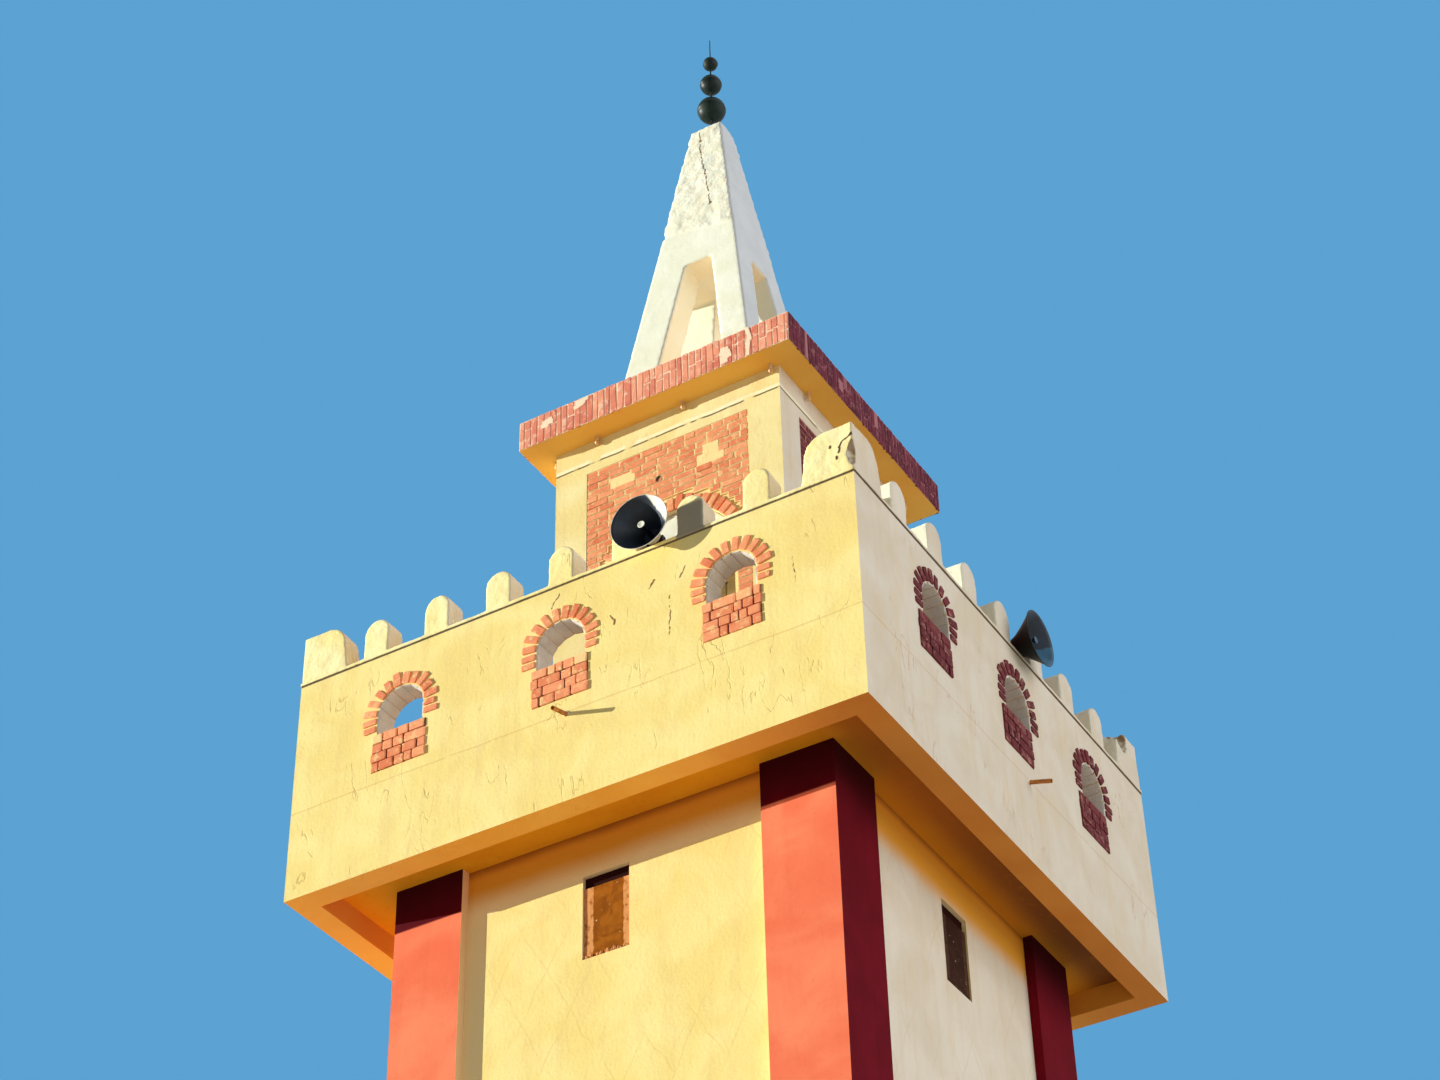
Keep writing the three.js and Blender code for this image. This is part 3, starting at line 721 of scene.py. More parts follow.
finishes = {
    "gallery": gallery_plaster(),
    "shaft": shaft_plaster(),
    "upper": upper_plaster(),
    "merlon": merlon_plaster(),
    "red": red_plaster(),
    "white": white_plaster(),
    # The gallery's soffit: its orange is painted for warm light bounced up onto yellow plaster,
    # with painted shade towards the right and back
    "soffit": soffit_plaster("soffit_plaster", (228, 144, 4), (238, 158, 10), (204, 118, 4), 0.95),
    "slab": soffit_plaster("slab_plaster", (252, 186, 78), (255, 200, 92), (240, 166, 62)),
    # Brick comes in a copy painted as sunlit and a darker copy painted as shade; so do the fascia
    # brick and the boards below
    "sunny_brick": painted_brick(
        "brick_painted_sunlit", (222, 112, 70), (253, 168, 116), (254, 222, 152), BRICK_HOLES),
    "shaded_brick": painted_brick("brick_painted_shaded", (92, 24, 30), (126, 48, 48), (196, 140, 120)),
    "sunny_fascia": painted_brick(
        "fascia_brick_painted_sunlit", (216, 108, 84), (252, 172, 134), (254, 222, 188)),
    "shaded_fascia": painted_brick(
        "fascia_brick_painted_shaded", (88, 16, 34), (122, 38, 54), (176, 110, 110)),
    # The arch linings are grey-beige: plaster painted as it looks in shade
    "lining": bare_concrete("lining_blocks", (206, 198, 186), (236, 230, 216), (170, 160, 146)),
    "concrete": bare_concrete("concrete", (150, 140, 122), (176, 166, 146), (122, 112, 96)),
    "sunny_boards": brown_boards("boards_painted_sunlit", (118, 58, 4), (178, 104, 22), (226, 158, 98)),
    "shaded_boards": brown_boards("boards_painted_shaded", (50, 28, 20), (72, 44, 30), (84, 56, 42)),
    "door": worn_paint("door_paint", (148, 118, 52), (124, 96, 38), (86, 60, 34), 0.6),
    "rust": worn_paint(
        "rusty_pipe", (214, 140, 60), (160, 92, 44), (84, 50, 34), 0.85, 0.1, 14.0, 0.66),
    "green": worn_paint(
        "green_enamel", (36, 50, 42), (24, 36, 30), (70, 74, 64), 0.5, 0.0, 8.0, 0.76, 0.2),
    "lamp": worn_paint(
        "lamp_holder_brass", (244, 204, 148), (214, 164, 104), (120, 80, 50), 0.5, 0.0, 10.0),
    "horn": worn_paint(
        "horn_enamel", (228, 222, 204), (206, 198, 178), (120, 88, 60), 0.45, 0.0, 9.0, 0.74),
    "dark_horn": worn_paint(
        "dark_horn_enamel", (12, 16, 18), (5, 9, 10), (84, 74, 66), 0.4, 0.0, 9.0, 0.7, 0.25),
    "throat": horn_lining("horn_inside", (226, 222, 200), (240, 236, 216)),
    "blue_throat": horn_lining("blue_horn_inside", (24, 74, 96), (44, 104, 128)),
    "metal": worn_paint(
        "dark_metal", (62, 60, 60), (34, 33, 34), (96, 62, 42), 0.55, 0.4, 12.0, 0.68),
}

# The nodes that are seen as they are, by the start of their names
NODE_FINISHES = {
    "parapet": "gallery", "shaft_wall": "shaft", "upper_wall": "upper", "corner_pier": "red",
    "gallery_floor": "soffit", "roof_slab": "slab", "ground_floor": "concrete",
    "finial_rod": "green",
}


def by_sun(kind, side):
    """The sunny sides get the finish painted as sunlit; the others get the darker one painted as
    shade.
    """
    return ("sunny_" if side in PAINTED_SUNLIT_SIDES else "shaded_") + kind


def coat_with(piece, finish):
    piece.data.materials.clear()
    piece.data.materials.append(finishes[finish])


def dress(piece, finish, slot, *nodes):
    """Gives a new piece its finish and the body it rides on, and hides the nodes it stands for; the
    slot is not used.
    """
    coat_with(piece, finish)
    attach(piece, "root")
    if nodes:
        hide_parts(*nodes)


# Camera, lights and floor

def place_camera():
    """The eye stands in front, to the right and low down, and looks up at the top of the tower."""
    eye = (9.8795, -17.2937, 3.0959)
    azimuth, elevation, roll = math.radians(29.933), math.radians(38.811), math.radians(-1.535)
    ahead = Vector((-math.sin(azimuth), math.cos(azimuth), 0))
    forward = ahead * math.cos(elevation) + Vector((0, 0, math.sin(elevation)))
    level = Vector((math.cos(azimuth), math.sin(azimuth), 0))
    upright = level.cross(forward)
    right = level * math.cos(roll) + upright * math.sin(roll)
    up = upright * math.cos(roll) - level * math.sin(roll)
    lens = bpy.data.cameras.new("photo_view")
    lens.lens = 74.163
    lens.sensor_width = 36
    lens.clip_end = 500
    camera = bpy.data.objects.new("photo_view", lens)
    bpy.context.scene.collection.objects.link(camera)
    turn = Matrix((right, up, -forward)).transposed()
    camera.matrix_world = Matrix.Translation(eye) @ turn.to_4x4()
    bpy.context.scene.camera = camera


def add_sun(name, travel, strength, colour, softness):
    deselect_all()
    bpy.ops.object.light_add(type="SUN", location=(0, 0, 40))
    sun = named(bpy.context.object, name)
    sun.rotation_euler = Vector(travel).to_track_quat("-Z", "Y").to_euler()
    sun.data.energy = strength
    sun.data.color = colour
    sun.data.angle = math.radians(softness)


def light_studio():
    """A low warm sun from the left, and a soft glow that is strongest on the side away from it."""
    scene = bpy.context.scene
    scene.view_settings.view_transform = "Standard"
    scene.view_settings.look = "None"
    add_sun("key", (2.25, 1.0, -0.34), 5.95, (0.965, 1.0, 0.95), 0.35)
    add_sun("side_fill", (-1.0, -0.2, -0.3), 1.06, (0.88, 0.91, 1.0), 60)
    world = bpy.data.worlds.new("studio")
    scene.world = world
    world.use_nodes = True
    world.node_tree.nodes.clear()
    r = Recipe(world.node_tree)
    way = r.node("ShaderNodeTexCoord").outputs["Generated"]
    away_from_sun = r.between(r.vector("DOT_PRODUCT", way, (0.6, 0.8, 0.0)), -0.6, 0.5)
    strength = r.times_plus(away_from_sun, 0.81, 0.13)
    glow = r.node("ShaderNodeBackground", {"Color": (216, 224, 238), "Strength": strength})
    seen = r.node("ShaderNodeBackground", {"Color": (92, 162, 210), "Strength": 1.0})
    seen_by_camera = r.node("ShaderNodeLightPath").outputs["Is Camera Ray"]
    inputs = {0: seen_by_camera, 1: glow.outputs[0], 2: seen.outputs[0]}
    both = r.node("ShaderNodeMixShader", inputs).outputs[0]
    r.node("ShaderNodeOutputWorld", {"Surface": both})


def lay_floor():
    deselect_all()
    bpy.ops.mesh.primitive_circle_add(vertices=96, radius=140, fill_type="NGON", location=(0, 0, 0))
    floor = named(bpy.context.object, "studio_floor")
    f = Finish("studio_floor_paint", roughness=0.95)
    f.colour = f.mix(f.noise(0.6, 3.0), (224, 217, 204), (232, 226, 214))
    floor.data.materials.append(f.finish())


place_camera()
light_studio()
lay_floor()


# Bricks

def brick_patterns(count):
    """Unit bricks with worn edges, each a little different."""
    patterns = []
    for number in range(count):
        brick = soften(block("brick_pattern", (-0.5, -0.5, -0.5), (0.5, 0.5, 0.5)), 0.07, 1)
        edit(brick, "VERT")
        bpy.ops.transform.vertex_random(offset=0.035, seed=number + 1)
        close()
        patterns.append(set_tone(brick, 0.0))
    return patterns


PATTERNS = brick_patterns(6)


class Mason:
    """Lays bricks one by one, with a throw of the dice for each, and keeps them to be joined."""

    def __init__(self, dice):
        self.dice = dice
        self.laid = []

    def add(self, piece, tone):
        self.laid.append(set_tone(piece, tone))

    def lay(self, centre, size, slope=0.0, tone=None):
        """A copy of one of the patterns, with its own mesh and tone, turned by a slope about Y."""
        brick = copy_of(self.dice.choice(PATTERNS))
        brick.location = centre
        brick.scale = size
        brick.rotation_euler = (0, -slope, 0)
        self.add(brick, self.dice.uniform(0.05, 0.9) if tone is None else tone)

    def joined(self, name):
        return join(name, self.laid)


def lay_course(wall, start, end, z, length):
    """One course of stretchers and headers between two ends, with the length of its first brick."""
    dice = wall.dice
    x = start
    while x < end - 0.03:
        stop = min(x + length, end)
        if end - stop < 0.035:
            stop = end
        lift = dice.uniform(-0.003, 0.003)
        y = -PANEL_FACE - BRICK_PROUD + BRICK_DEPTH / 2 + dice.uniform(-0.002, 0.002)
        size = (stop - x - JOINT, BRICK_DEPTH, COURSE - JOINT + lift)
        if size[0] > 0.02:
            wall.lay(((x + stop) / 2, y, z + COURSE / 2), size, dice.uniform(-0.012, 0.012))
        x = stop
        length = dice.choice((0.215, 0.215, 0.215, 0.11, 0.16))


def lay_ring(wall, centre, springing, radius, length, face, proud, count, joint):
    """Voussoirs set round an arch, ragged at their outer ends."""
    dice = wall.dice
    width = math.pi * (radius + length * 0.4) / count - joint
    for number in range(count):
        slope = (number + 0.5) * math.pi / count
        reach = length * dice.uniform(0.84, 1.1)
        out = radius + reach / 2
        y = -face - proud / 2 + 0.008 + dice.uniform(-0.004, 0.002)
        size = (reach, proud + 0.016, width * dice.uniform(0.84, 1.04))
        spot = (centre + out * math.cos(slope), y, springing + out * math.sin(slope))
        wall.lay(spot, size, slope + dice.uniform(-0.08, 0.08))


def lay_arch(wall, centre, rise, apron_centre):
    """The brick ring, its feet, the apron and the sill of one small arch."""
    springing = ARCH_SPRINGING + rise
    sill = ARCH_SILL + rise
    inner = ARCH_RADIUS + 0.008
    lay_ring(wall, centre, springing, inner, VOUSSOIR, GALLERY_FACE, 0.011, 10, 0.02)
    for way in (-1, 1):
        for step in range(2):
            reach = VOUSSOIR * wall.dice.uniform(0.85, 1.1)
            x = centre + way * (inner + reach / 2)
            spot = (x, -GALLERY_FACE + 0.003, springing - 0.038 - 0.073 * step)
            wall.lay(spot, (reach, 0.028, 0.052), wall.dice.uniform(-0.05, 0.05))
    lay_apron(wall, apron_centre, APRON_BOTTOM + rise, sill)
    sill_brick = (0.138, 0.1, 0.034)
    for shift in (-0.145, 0.0, 0.145):
        wall.lay((centre + shift, -GALLERY_FACE + 0.045, sill - 0.016), sill_brick, 0.0, 0.9)


def lay_apron(wall, centre, bottom, sill):
    """Rough courses under a sill, with raked upright joints and a paler course on top."""
    dice = wall.dice
    left, right = centre - APRON_HALF_WIDTH, centre + APRON_HALF_WIDTH
    bed = block("bed", (left, -GALLERY_FACE - 0.001, bottom), (right, -GALLERY_FACE + 0.01, sill))
    wall.add(soften(bed, 0.003, 1), -1.0)
    rise = (sill - bottom) / APRON_COURSES
    for course in range(APRON_COURSES):
        tones = (0.9, 0.955) if course == APRON_COURSES - 1 else (0.1, 0.88)
        x = left - dice.uniform(-0.005, 0.012)
        end = right + dice.uniform(-0.005, 0.014)
        length = dice.choice((0.07, 0.1, 0.15))
        while x < end - 0.02:
            stop = end if end - x < length + 0.06 else x + length
            size = (stop - x - dice.uniform(0.008, 0.02), 0.026, rise - dice.uniform(0.004, 0.012))
            proud = dice.uniform(0.009, 0.0165)
            tone = dice.uniform(*tones)
            spot = ((x + stop) / 2, -GALLERY_FACE - proud + 0.013, bottom + (course + 0.5) * rise)
            wall.lay(spot, size, dice.uniform(-0.03, 0.03), tone)
            x = stop
            length = dice.choice((0.07, 0.1, 0.14, 0.2))


def lay_lining(wall, centre, rise):
    """The blocks that line the opening of a small arch, with open joints between them."""
    count = 8
    thickness = 0.012
    springing = ARCH_SPRINGING + rise
    tall = ARCH_SPRINGING - ARCH_SILL
    middle = -GALLERY_FACE + PARAPET_THICKNESS / 2
    depth = PARAPET_THICKNESS - 0.006
    radius = ARCH_RADIUS + 0.002 - thickness / 2
    size = (thickness, depth, math.pi * radius / count - 0.005)
    for number in range(count):
        slope = (number + 0.5) * math.pi / count
        spot = (centre + radius * math.cos(slope), middle, springing + radius * math.sin(slope))
        wall.lay(spot, size, slope)
    for way in (-1, 1):
        spot = (centre + way * radius, middle, springing - tall / 2)
        wall.lay(spot, (thickness, depth, tall - 0.006))


def build_arches():
    for side in SIDES:
        dice = random.Random("arches " + side)
        brickwork, lining = Mason(dice), Mason(dice)
        for centre, rise in ARCHES[side]:
            lay_arch(brickwork, centre, rise, centre + APRON_SHIFT[side])
            lay_lining(lining, centre, rise)
        made = on_side(brickwork.joined("arch_brickwork_" + side), side)
        dress(made, by_sun("brick", side), "red_brick")
        dress(on_side(lining.joined("arch_lining_" + side), side), "lining", "yellow_plaster")


# Patches on the front panel and chips on the fascia: left, right, bottom and top of each
PLASTERED_OVER = {"front": [(-0.55, -0.32, 4.16, 4.25), (0.3, 0.55, 4.02, 4.12),
                            (0.36, 0.5, 4.12, 4.21)]}
LIME_CHIPS = {
    "front": [(-1.11, -1.0, 0.14, 0.23), (-0.8, -0.64, 0.21, 0.3), (0.69, 0.78, 0.02, 0.2),
              (0.94, 0.98, 0.0, 0.315)],
    "right": [(-0.5, -0.42, 0.08, 0.2)],
    "back": [(0.3, 0.42, 0.18, 0.3)],
    "left": [(-0.2, -0.1, 0.02, 0.16)],
}


def panel_spans(side, z):
    """The stretches of a course that are brick: clear of the doorway and of plastered patches."""
    spans = [(-PANEL_HALF_WIDTH + 0.001, PANEL_HALF_WIDTH - 0.001)]
    holes = [(x0, x1) for x0, x1, z0, z1 in PLASTERED_OVER.get(side, []) if z0 < z - GALLERY < z1]
    if side == "front":
        above = z - NICHE_SPRINGING
        outer = NICHE_RADIUS + RING_DEPTH + 0.02
        half = NICHE_RADIUS if above <= 0 else math.sqrt(max(outer ** 2 - above ** 2, 0.0))
        if half > 0:
            holes.append((DOOR_CENTRE - half, DOOR_CENTRE + half))
    for low, high in holes:
        cut = []
        for start, end in spans:
            if low > start:
                cut.append((start, min(end, low)))
            if high < end:
                cut.append((max(start, high), end))
        spans = [span for span in cut if span[1] - span[0] > 0.03]
    return spans


def build_brick_panels():
    """The brickwork that fills the recess in each upper wall, and the ring over the doorway."""
    for side in SIDES:
        wall = Mason(random.Random("panel " + side))
        course = 0
        z = PANEL_TOP - COURSE
        while z > GALLERY_FLOOR:
            for start, end in panel_spans(side, z + COURSE / 2):
                low = (start, -PANEL_FACE - 0.015, z - 0.002)
                wall.add(block("bed", low, (end, -PANEL_FACE + 0.004, z + COURSE + 0.002)), 1.0)
                lay_course(wall, start, end, z, 0.215 if course % 2 else 0.11)
            z -= COURSE
            course += 1
        for number, (x0, x1, z0, z1) in enumerate(PLASTERED_OVER.get(side, [])):
            low = (x0 - 0.008, -PANEL_FACE - 0.0175 - number * 0.0005, GALLERY + z0 - 0.02)
            high = (x1 + 0.008, -PANEL_FACE + 0.004, GALLERY + z1 + 0.02)
            wall.add(soften(block("patch", low, high), 0.004), 1.0)
        if side == "front":
            lay_ring(wall, DOOR_CENTRE, NICHE_SPRINGING, NICHE_RADIUS, RING_DEPTH, PANEL_FACE, 0.02,
                     25, 0.016)
        made = on_upper_stage(wall.joined("brick_panel_" + side), side)
        dress(made, by_sun("brick", side), "red_brick")


def build_fascia():
    """Upright bricks round the edge of the roof slab, limed over in a few spots."""
    height = ROOF_TOP - ROOF_BOTTOM
    for side in SIDES:
        dice = random.Random("fascia " + side)
        wall = Mason(dice)
        low = (-ROOF_FACE, -ROOF_FACE - 0.005, ROOF_BOTTOM + 0.002)
        wall.add(block("bed", low, (ROOF_FACE, -ROOF_FACE + 0.004, ROOF_TOP - 0.004)), 1.0)
        x = -ROOF_FACE
        while x < ROOF_FACE - 0.02:
            width = min(dice.uniform(0.05, 0.075), ROOF_FACE - x)
            cuts = [0.0, 1.0] if dice.random() < 0.55 else [0.0, dice.uniform(0.3, 0.7), 1.0]
            for low, high in zip(cuts, cuts[1:]):
                z0 = ROOF_BOTTOM + low * height + 0.004
                z1 = ROOF_BOTTOM + high * height - 0.004 - dice.uniform(0.0, 0.01)
                spot = (x + width / 2, -ROOF_FACE - dice.uniform(0.0, 0.002), (z0 + z1) / 2)
                size = (width - dice.uniform(0.006, 0.016), 0.018, z1 - z0)
                tone = dice.uniform(-0.1, 1.0) ** 2 if dice.random() < 0.5 else None
                wall.lay(spot, size, dice.uniform(-0.03, 0.03), tone)
            x += width
        for x0, x1, z0, z1 in LIME_CHIPS[side]:
            for rise in (0.25, 0.5, 0.75):
                shift = dice.uniform(-0.2, 0.2) * (x1 - x0)
                z = ROOF_BOTTOM + z0 + rise * (z1 - z0)
                spot = ((x0 + x1) / 2 + shift, -ROOF_FACE - 0.008, z)
                size = ((x1 - x0) * dice.uniform(0.6, 1.0), 0.012, (z1 - z0) * 0.5)
                wall.lay(spot, size, dice.uniform(-0.25, 0.25), 1.0)
        made = on_upper_stage(wall.joined("fascia_bricks_" + side), side)
        dress(made, by_sun("fascia", side), "red_brick")


build_arches()
build_brick_panels()
build_fascia()


# Battlements

def build_battlements():
    for side in SIDES:
        row = weathered("merlon_row_" + side, "merlons_" + side, 0.014, 0.012)
        dress(row, "merlon", "yellow_plaster", "merlon_row_" + side)
    for corner in CORNERS:
        bites = [BITES[corner]] if corner in BITES else []
        node = "corner_merlon_" + corner
        merlon = weathered(node, "plastered_merlon_" + corner, 0.012, 0.014, bites)
        dress(merlon, "merlon", "yellow_plaster", node)


build_battlements()


# Upper doorway

def build_door():
    """Two boarded leaves with rails behind a frame, and the plastered head of the doorway."""
    left = DOOR_CENTRE - DOOR_HALF_WIDTH
    leaf = DOOR_HALF_WIDTH
    boards = 5
    width = leaf / boards
    parts = []

    def add_board(x0, x1, near, far, z0, z1, arris):
        board = block("board", (x0, -DOOR_FACE + near, z0), (x1, -DOOR_FACE + far, z1))
        parts.append(soften(board, arris))

    for number in range(boards * 2):
        x = left + number * width
        add_board(x + 0.003, x + width - 0.003, 0.014, 0.04, GALLERY_FLOOR + 0.01, DOOR_TOP - 0.01,
                  0.003)
    for start in (left, left + leaf):
        for z in (GALLERY_FLOOR + 0.12, (GALLERY_FLOOR + DOOR_TOP) / 2, DOOR_TOP - 0.2):
            add_board(start + 0.012, start + leaf - 0.012, 0.002, 0.02, z, z + 0.1, 0.004)
        for x in (start + 0.004, start + leaf - 0.084):
            add_board(x, x + 0.08, 0.001, 0.021, GALLERY_FLOOR + 0.008, DOOR_TOP - 0.008, 0.004)
    door = join("boarded_door", parts)
    dress(on_upper_stage(door, "front"), "door", "olive_paint", "upper_door")

    deselect_all()
    middle = (DOOR_CENTRE, -UPPER_FACE + NICHE_DEPTH - 0.006, NICHE_SPRINGING)
    bpy.ops.mesh.primitive_cylinder_add(vertices=72, radius=NICHE_RADIUS - 0.002, depth=0.014,
                                        rotation=(math.pi / 2, 0, 0), location=middle)
    head = settle(named(bpy.context.object, "tympanum"))
    edit(head, "FACE")
    bpy.ops.mesh.bisect(plane_co=(0, 0, DOOR_TOP), plane_no=(0, 0, 1), clear_inner=True,
                        use_fill=True)
    close()
    modify(head, "REMESH", mode="VOXEL", voxel_size=0.012, use_smooth_shade=True)
    lumps(head, 0.12, 0.008)
    dress(on_upper_stage(head, "front"), "white", "white_plaster")


def build_lamp_holders():
    """Small lamp holders with a bulb, in a row under the roof slab."""
    profile = [(0.018, 0.0), (0.02, -0.012), (0.014, -0.016), (0.014, -0.04), (0.012, -0.044),
               (0.02, -0.058), (0.021, -0.068), (0.015, -0.082), (0.004, -0.088)]
    for side in SIDES:
        parts = []
        for x in (-0.67, 0.19, 1.05):
            lamp = turned("lamp", profile, 20)
            lamp.location = (x, -UPPER_FACE - 0.035, ROOF_BOTTOM + 0.003)
            parts.append(settle(lamp))
        lamps = on_upper_stage(join("lamp_holders_" + side, parts), side)
        dress(smooth(lamps), "lamp", "horn_shell")


build_door()
build_lamp_holders()


# Spire and finial

def build_spire():
    notch = ((-0.43, -0.33, SPIRE_WAIST + 0.05), (0.05, 0.06, 0.05))
    corner = ((0.13, 0.11, SPIRE_TOP), (0.05, 0.05, 0.04))
    spire = weathered("spire", "limewashed_spire", 0.018, 0.006, [notch, corner])
    patch = spire.vertex_groups.new(name="patch")
    for point in spire.data.vertices:
        rise = (point.co.z + ROUGH_EDGE_FALL * point.co.x - ROUGH_EDGE) / 0.02
        smooth_side = 0.15 if point.normal.x > 0.55 else 1.0
        patch.add([point.index], min(max(rise, 0.0), 1.0) * smooth_side, "REPLACE")
    modify(spire, "DISPLACE", strength=0.012, mid_level=0.0, vertex_group="patch")
    lumps(spire, 0.13, 0.024, "patch")
    lumps(spire, 0.035, 0.012, "patch")
    dress(spire, "white", "white_plaster", "spire")


def build_finial():
    """Three balls, each with a welded seam round its middle."""
    balls = {"large": (0.14, 9.511), "middle": (0.108, 9.876), "small": (0.075, 10.18)}
    for size, (radius, height) in balls.items():
        deselect_all()
        bpy.ops.mesh.primitive_uv_sphere_add(segments=48, ring_count=24, radius=radius - 0.002)
        ball = named(bpy.context.object, "welded_ball_" + size)
        edit(ball, "FACE", lambda face: abs(face.calc_center_median().z) < radius * 0.14)
        bpy.ops.mesh.inset(thickness=0.003, depth=0.002)
        close()
        ball.location = (SPIRE_SHIFT, 0, GALLERY + height)
        settle(ball)
        lumps(ball, radius * 0.7, 0.003)
        dress(smooth(ball, 50), "green", "green_paint", "finial_ball_" + size)


build_spire()
build_finial()


# Horn loudspeakers, drawn about Z with the mouth upwards

# Place along the side, height of the pivot over the coping, turn to the left and dip of the mouth
HORN_PLACES = {"front": (0.737, 0.139, 5, 4), "right": (0.249, 0.107, 0, 0)}
HORN_SET_BACK = 0.115
THROAT_RADIUS = 0.07
MOUTH_RADIUS = 0.2375
BELL_START = 0.062
BELL_LENGTH = 0.2285
RIM_RADIUS = 0.0028
NOSE_TIP = -0.243
LININGS = {"front": "throat", "right": "blue_throat"}

# A pale crescent is painted on the lining beyond a chord, where the sun reaches: which way the
# chord lies, in degrees, and how far it is
PAINTED_SUNLIT_CRESCENT = {"front": (27.5, 0.162), "right": (-70, 0.03)}


def bell_wall(outer, inner, steps=14):
    """The closed section of a shell that follows the bell between two depths under its outside."""
    def line(depth):
        shares = [number / steps for number in range(steps + 1)]
        return [(THROAT_RADIUS + share ** 1.25 * (MOUTH_RADIUS - THROAT_RADIUS) - depth,
                 BELL_START + share * BELL_LENGTH) for share in shares]
    return line(outer) + line(inner)[::-1] + line(outer)[:1]


def lie_down(piece):
    """Tips a piece that was made about Z so that its mouth faces the front."""
    piece.data.transform(Matrix.Rotation(math.pi / 2, 4, "X"))
    return piece


def aim(piece, side, tilted=True):
    """Turns a piece to the horn's line and sets it on its side's coping."""
    along, height, yaw, pitch = HORN_PLACES[side]
    place = Matrix.Translation((along, -GALLERY_FACE + HORN_SET_BACK, COPING_TOP + height))
    swing = Matrix.Rotation(math.radians(yaw), 4, "Z")
    tilt = Matrix.Rotation(math.radians(pitch if tilted else 0), 4, "X")
    piece.matrix_world = Matrix.Rotation(SIDES[side], 4, "Z") @ place @ swing @ tilt
    return settle(piece)


def nut(radius, height):
    """A small six-sided head with softened edges."""
    profile = [(radius - 0.0005, 0.0), (radius, 0.002), (radius, height - 0.001),
               (radius - 0.0035, height)]
    return turned("nut", profile, 6)


def build_bell(side):
    """The shell with its rolled rim, and the lining with a crescent painted pale where the sun
    reaches it.
    """
    bell = turned("bell", bell_wall(0.0, 0.0025), 72, ends=False)
    steps = [number * math.pi / 4 for number in range(9)]
    section = [(0.2365 + RIM_RADIUS * math.cos(step), 0.2885 + RIM_RADIUS * math.sin(step))
               for step in steps]
    rim = turned("rim", section, 72, ends=False)
    shell = smooth(lie_down(join("horn_shell_" + side, [bell, rim])), 50)
    colour = "horn" if side == "front" else "dark_horn"
    dress(aim(shell, side), colour, "horn_shell", f"horn_{side}_bell")

    throat = turned("throat", [(0.0655, 0.0585), (0.0655, 0.0672)], 72)
    inside = turned("lining", bell_wall(0.0035, 0.005), 72, ends=False)
    lining = join("horn_lining_" + side, [inside, throat])
    angle, chord = PAINTED_SUNLIT_CRESCENT[side]
    toward = Vector((math.cos(math.radians(angle)), math.sin(math.radians(angle)), 0))
    set_tone(lining, lambda place: min(max((place.dot(toward) - chord) / 0.004, 0.0), 1.0))
    dress(aim(smooth(lie_down(lining), 50), side), LININGS[side], "horn_shell")


def build_driver(side):
    """The driver's case, and the nose inside the bell with its pale tip."""
    body = [(0.02, -0.055), (0.045, -0.053), (0.056, -0.046), (0.06, -0.03), (0.06, -0.012),
            (0.0615, -0.01), (0.0615, 0.01), (0.06, 0.012), (0.06, 0.046), (0.0615, 0.05),
            (0.058, 0.058), (0.05, 0.066)]
    stem = [(0.02, 0.064), (0.018, 0.12), (0.015, 0.2), (0.016, 0.226), (0.022, 0.24),
            (0.028, 0.248), (0.03, 0.252), (0.027, 0.2535), (0.014, 0.25), (0.006, 0.248)]
    driver = lie_down(turned("horn_driver_case_" + side, body, 40))
    nose = lie_down(turned("horn_nose_" + side, stem, 40))
    set_tone(nose, lambda place: float(place.y < NOSE_TIP))
    dress(aim(smooth(driver), side), "metal", "dark_metal", f"horn_{side}_driver")
    dress(aim(smooth(nose), side), LININGS[side], "horn_shell")


def build_bracket(side):
    """A foot on the coping, two straps to the driver, and their bolts."""
    foot = -HORN_PLACES[side][1]
    parts = [soften(block("foot", (-0.07, -0.025, foot), (0.07, 0.025, foot + 0.008)), 0.002)]
    for way in (-1, 1):
        near, far = sorted((way * 0.0625, way * 0.07))
        parts.append(soften(block("strap", (near, -0.025, foot), (far, 0.025, 0.022)), 0.002))
        bolt = nut(0.0075, 0.008)
        bolt.data.transform(Matrix.Rotation(way * math.pi / 2, 4, "Y"))
        bolt.location = (way * 0.069, 0, 0)
        anchor = nut(0.0085, 0.009)
        anchor.location = (way * 0.045, 0, foot + 0.007)
        parts += [settle(bolt), settle(anchor)]
    bracket = aim(join("horn_bracket_bolted_" + side, parts), side, tilted=False)
    dress(bracket, "metal", "dark_metal", f"horn_{side}_bracket")


for side in HORN_PLACES:
    build_bell(side)
    build_driver(side)
    build_bracket(side)


# Spouts and windows

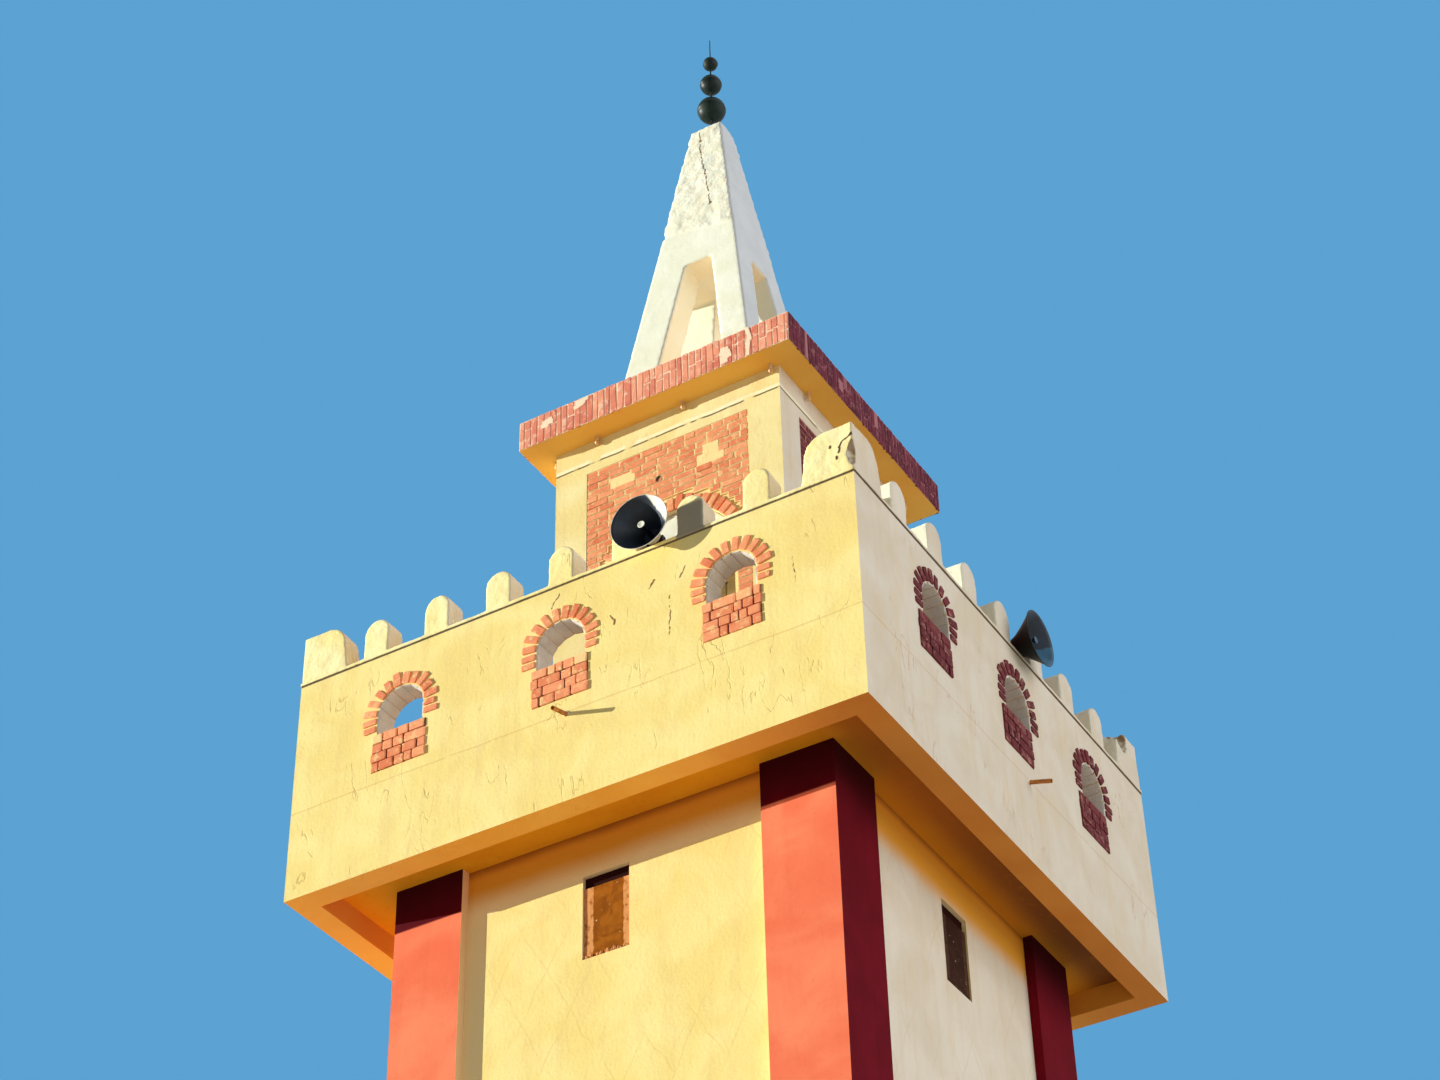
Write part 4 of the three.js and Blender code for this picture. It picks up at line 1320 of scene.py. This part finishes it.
def build_spouts():
    """A rusty pipe below the middle arch of each side, with a collar of mortar."""
    inner, outer = -PARAPET_THICKNESS, SPOUT_REACH
    pipe_wall = [(0.0175, inner), (0.0175, outer * 0.4), (0.0168, outer * 0.45),
                 (0.0175, outer - 0.002), (0.0155, outer - 0.001), (0.0143, outer - 0.002),
                 (0.0143, inner), (0.0175, inner)]
    collar_wall = [(0.0182, -0.004), (0.028, -0.001), (0.024, 0.004), (0.0188, 0.008),
                   (0.0182, -0.004)]
    for side in SIDES:
        pipe = lumps(turned("rusted_pipe_" + side, pipe_wall, 32, ends=False), 0.03, 0.0014)
        collar = lumps(turned("mortar_collar_" + side, collar_wall, 24, ends=False), 0.02, 0.005)
        for part in (pipe, collar):
            part.data.transform(Matrix.Rotation(math.radians(90 + SPOUT_SLOPE), 4, "X"))
            part.location = (SPOUT_CENTRES[side], -GALLERY_FACE, SPOUT_AXIS)
            settle(part)
        dress(smooth(on_side(pipe, side), 50), "rust", "rusty_pipe", "spout_" + side)
        dress(smooth(on_side(collar, side), 60), "merlon", "yellow_plaster")


def window_board(side, row, dice):
    """A boarded window: a sheet that stops short of the top, and crumbs of mortar on the sill."""
    top = WINDOW_TOPS[row] - 0.002
    bottom = top - WINDOW_HEIGHT + 0.004
    face = SHAFT_PANEL_FACE - BOARD_RECESS
    half = WINDOW_WIDTH / 2 - 0.001
    left_strip, right_strip, bare = 0.085, 0.06, 0.1
    sheet = block("sheet", (-half, -face + 0.003, bottom), (half, -face + 0.026, top - bare))
    edit(sheet)
    bpy.ops.mesh.subdivide(number_cuts=14)
    close()
    lumps(sheet, 0.12, 0.004)
    worn_left, worn_right = left_strip - half, half - right_strip
    set_tone(sheet, lambda place: 0.0 if worn_left <= place.x <= worn_right else 0.62)
    # The gap strip above the sheet is painted near black as the shade in the recess
    gap = block("gap", (-half, -face + 0.022, top - bare - 0.01), (half, -face + 0.03, top))
    parts = [sheet, set_tone(soften(gap, 0.003, 1), -1.0)]
    for _ in range(34):
        size = dice.uniform(0.006, 0.016)
        x = dice.uniform(-half + 0.02, half - 0.02)
        place = (x, -face, bottom + size * dice.uniform(0.4, 2.0))
        bpy.ops.mesh.primitive_ico_sphere_add(subdivisions=1, radius=size, location=place)
        crumb = settle(bpy.context.object)
        edit(crumb, "VERT")
        bpy.ops.transform.vertex_random(offset=size * 0.4, seed=dice.randrange(1, 999))
        close()
        parts.append(set_tone(crumb, 1.0))
    board = join(f"boarded_window_{side}_{row}", parts)
    board.location.x = WINDOW_CENTRES[side]
    board = on_side(settle(board), side)
    dress(board, by_sun("boards", side), "brown_timber", f"window_board_{side}_{row}")


build_spouts()
for side in SIDES:
    for row in WINDOW_TOPS:
        window_board(side, row, random.Random("window " + side + row))

for pattern in PATTERNS:
    bpy.data.objects.remove(pattern)

for name, node in cad.items():
    for start, finish in NODE_FINISHES.items():
        if name.startswith(start):
            coat_with(node, finish)
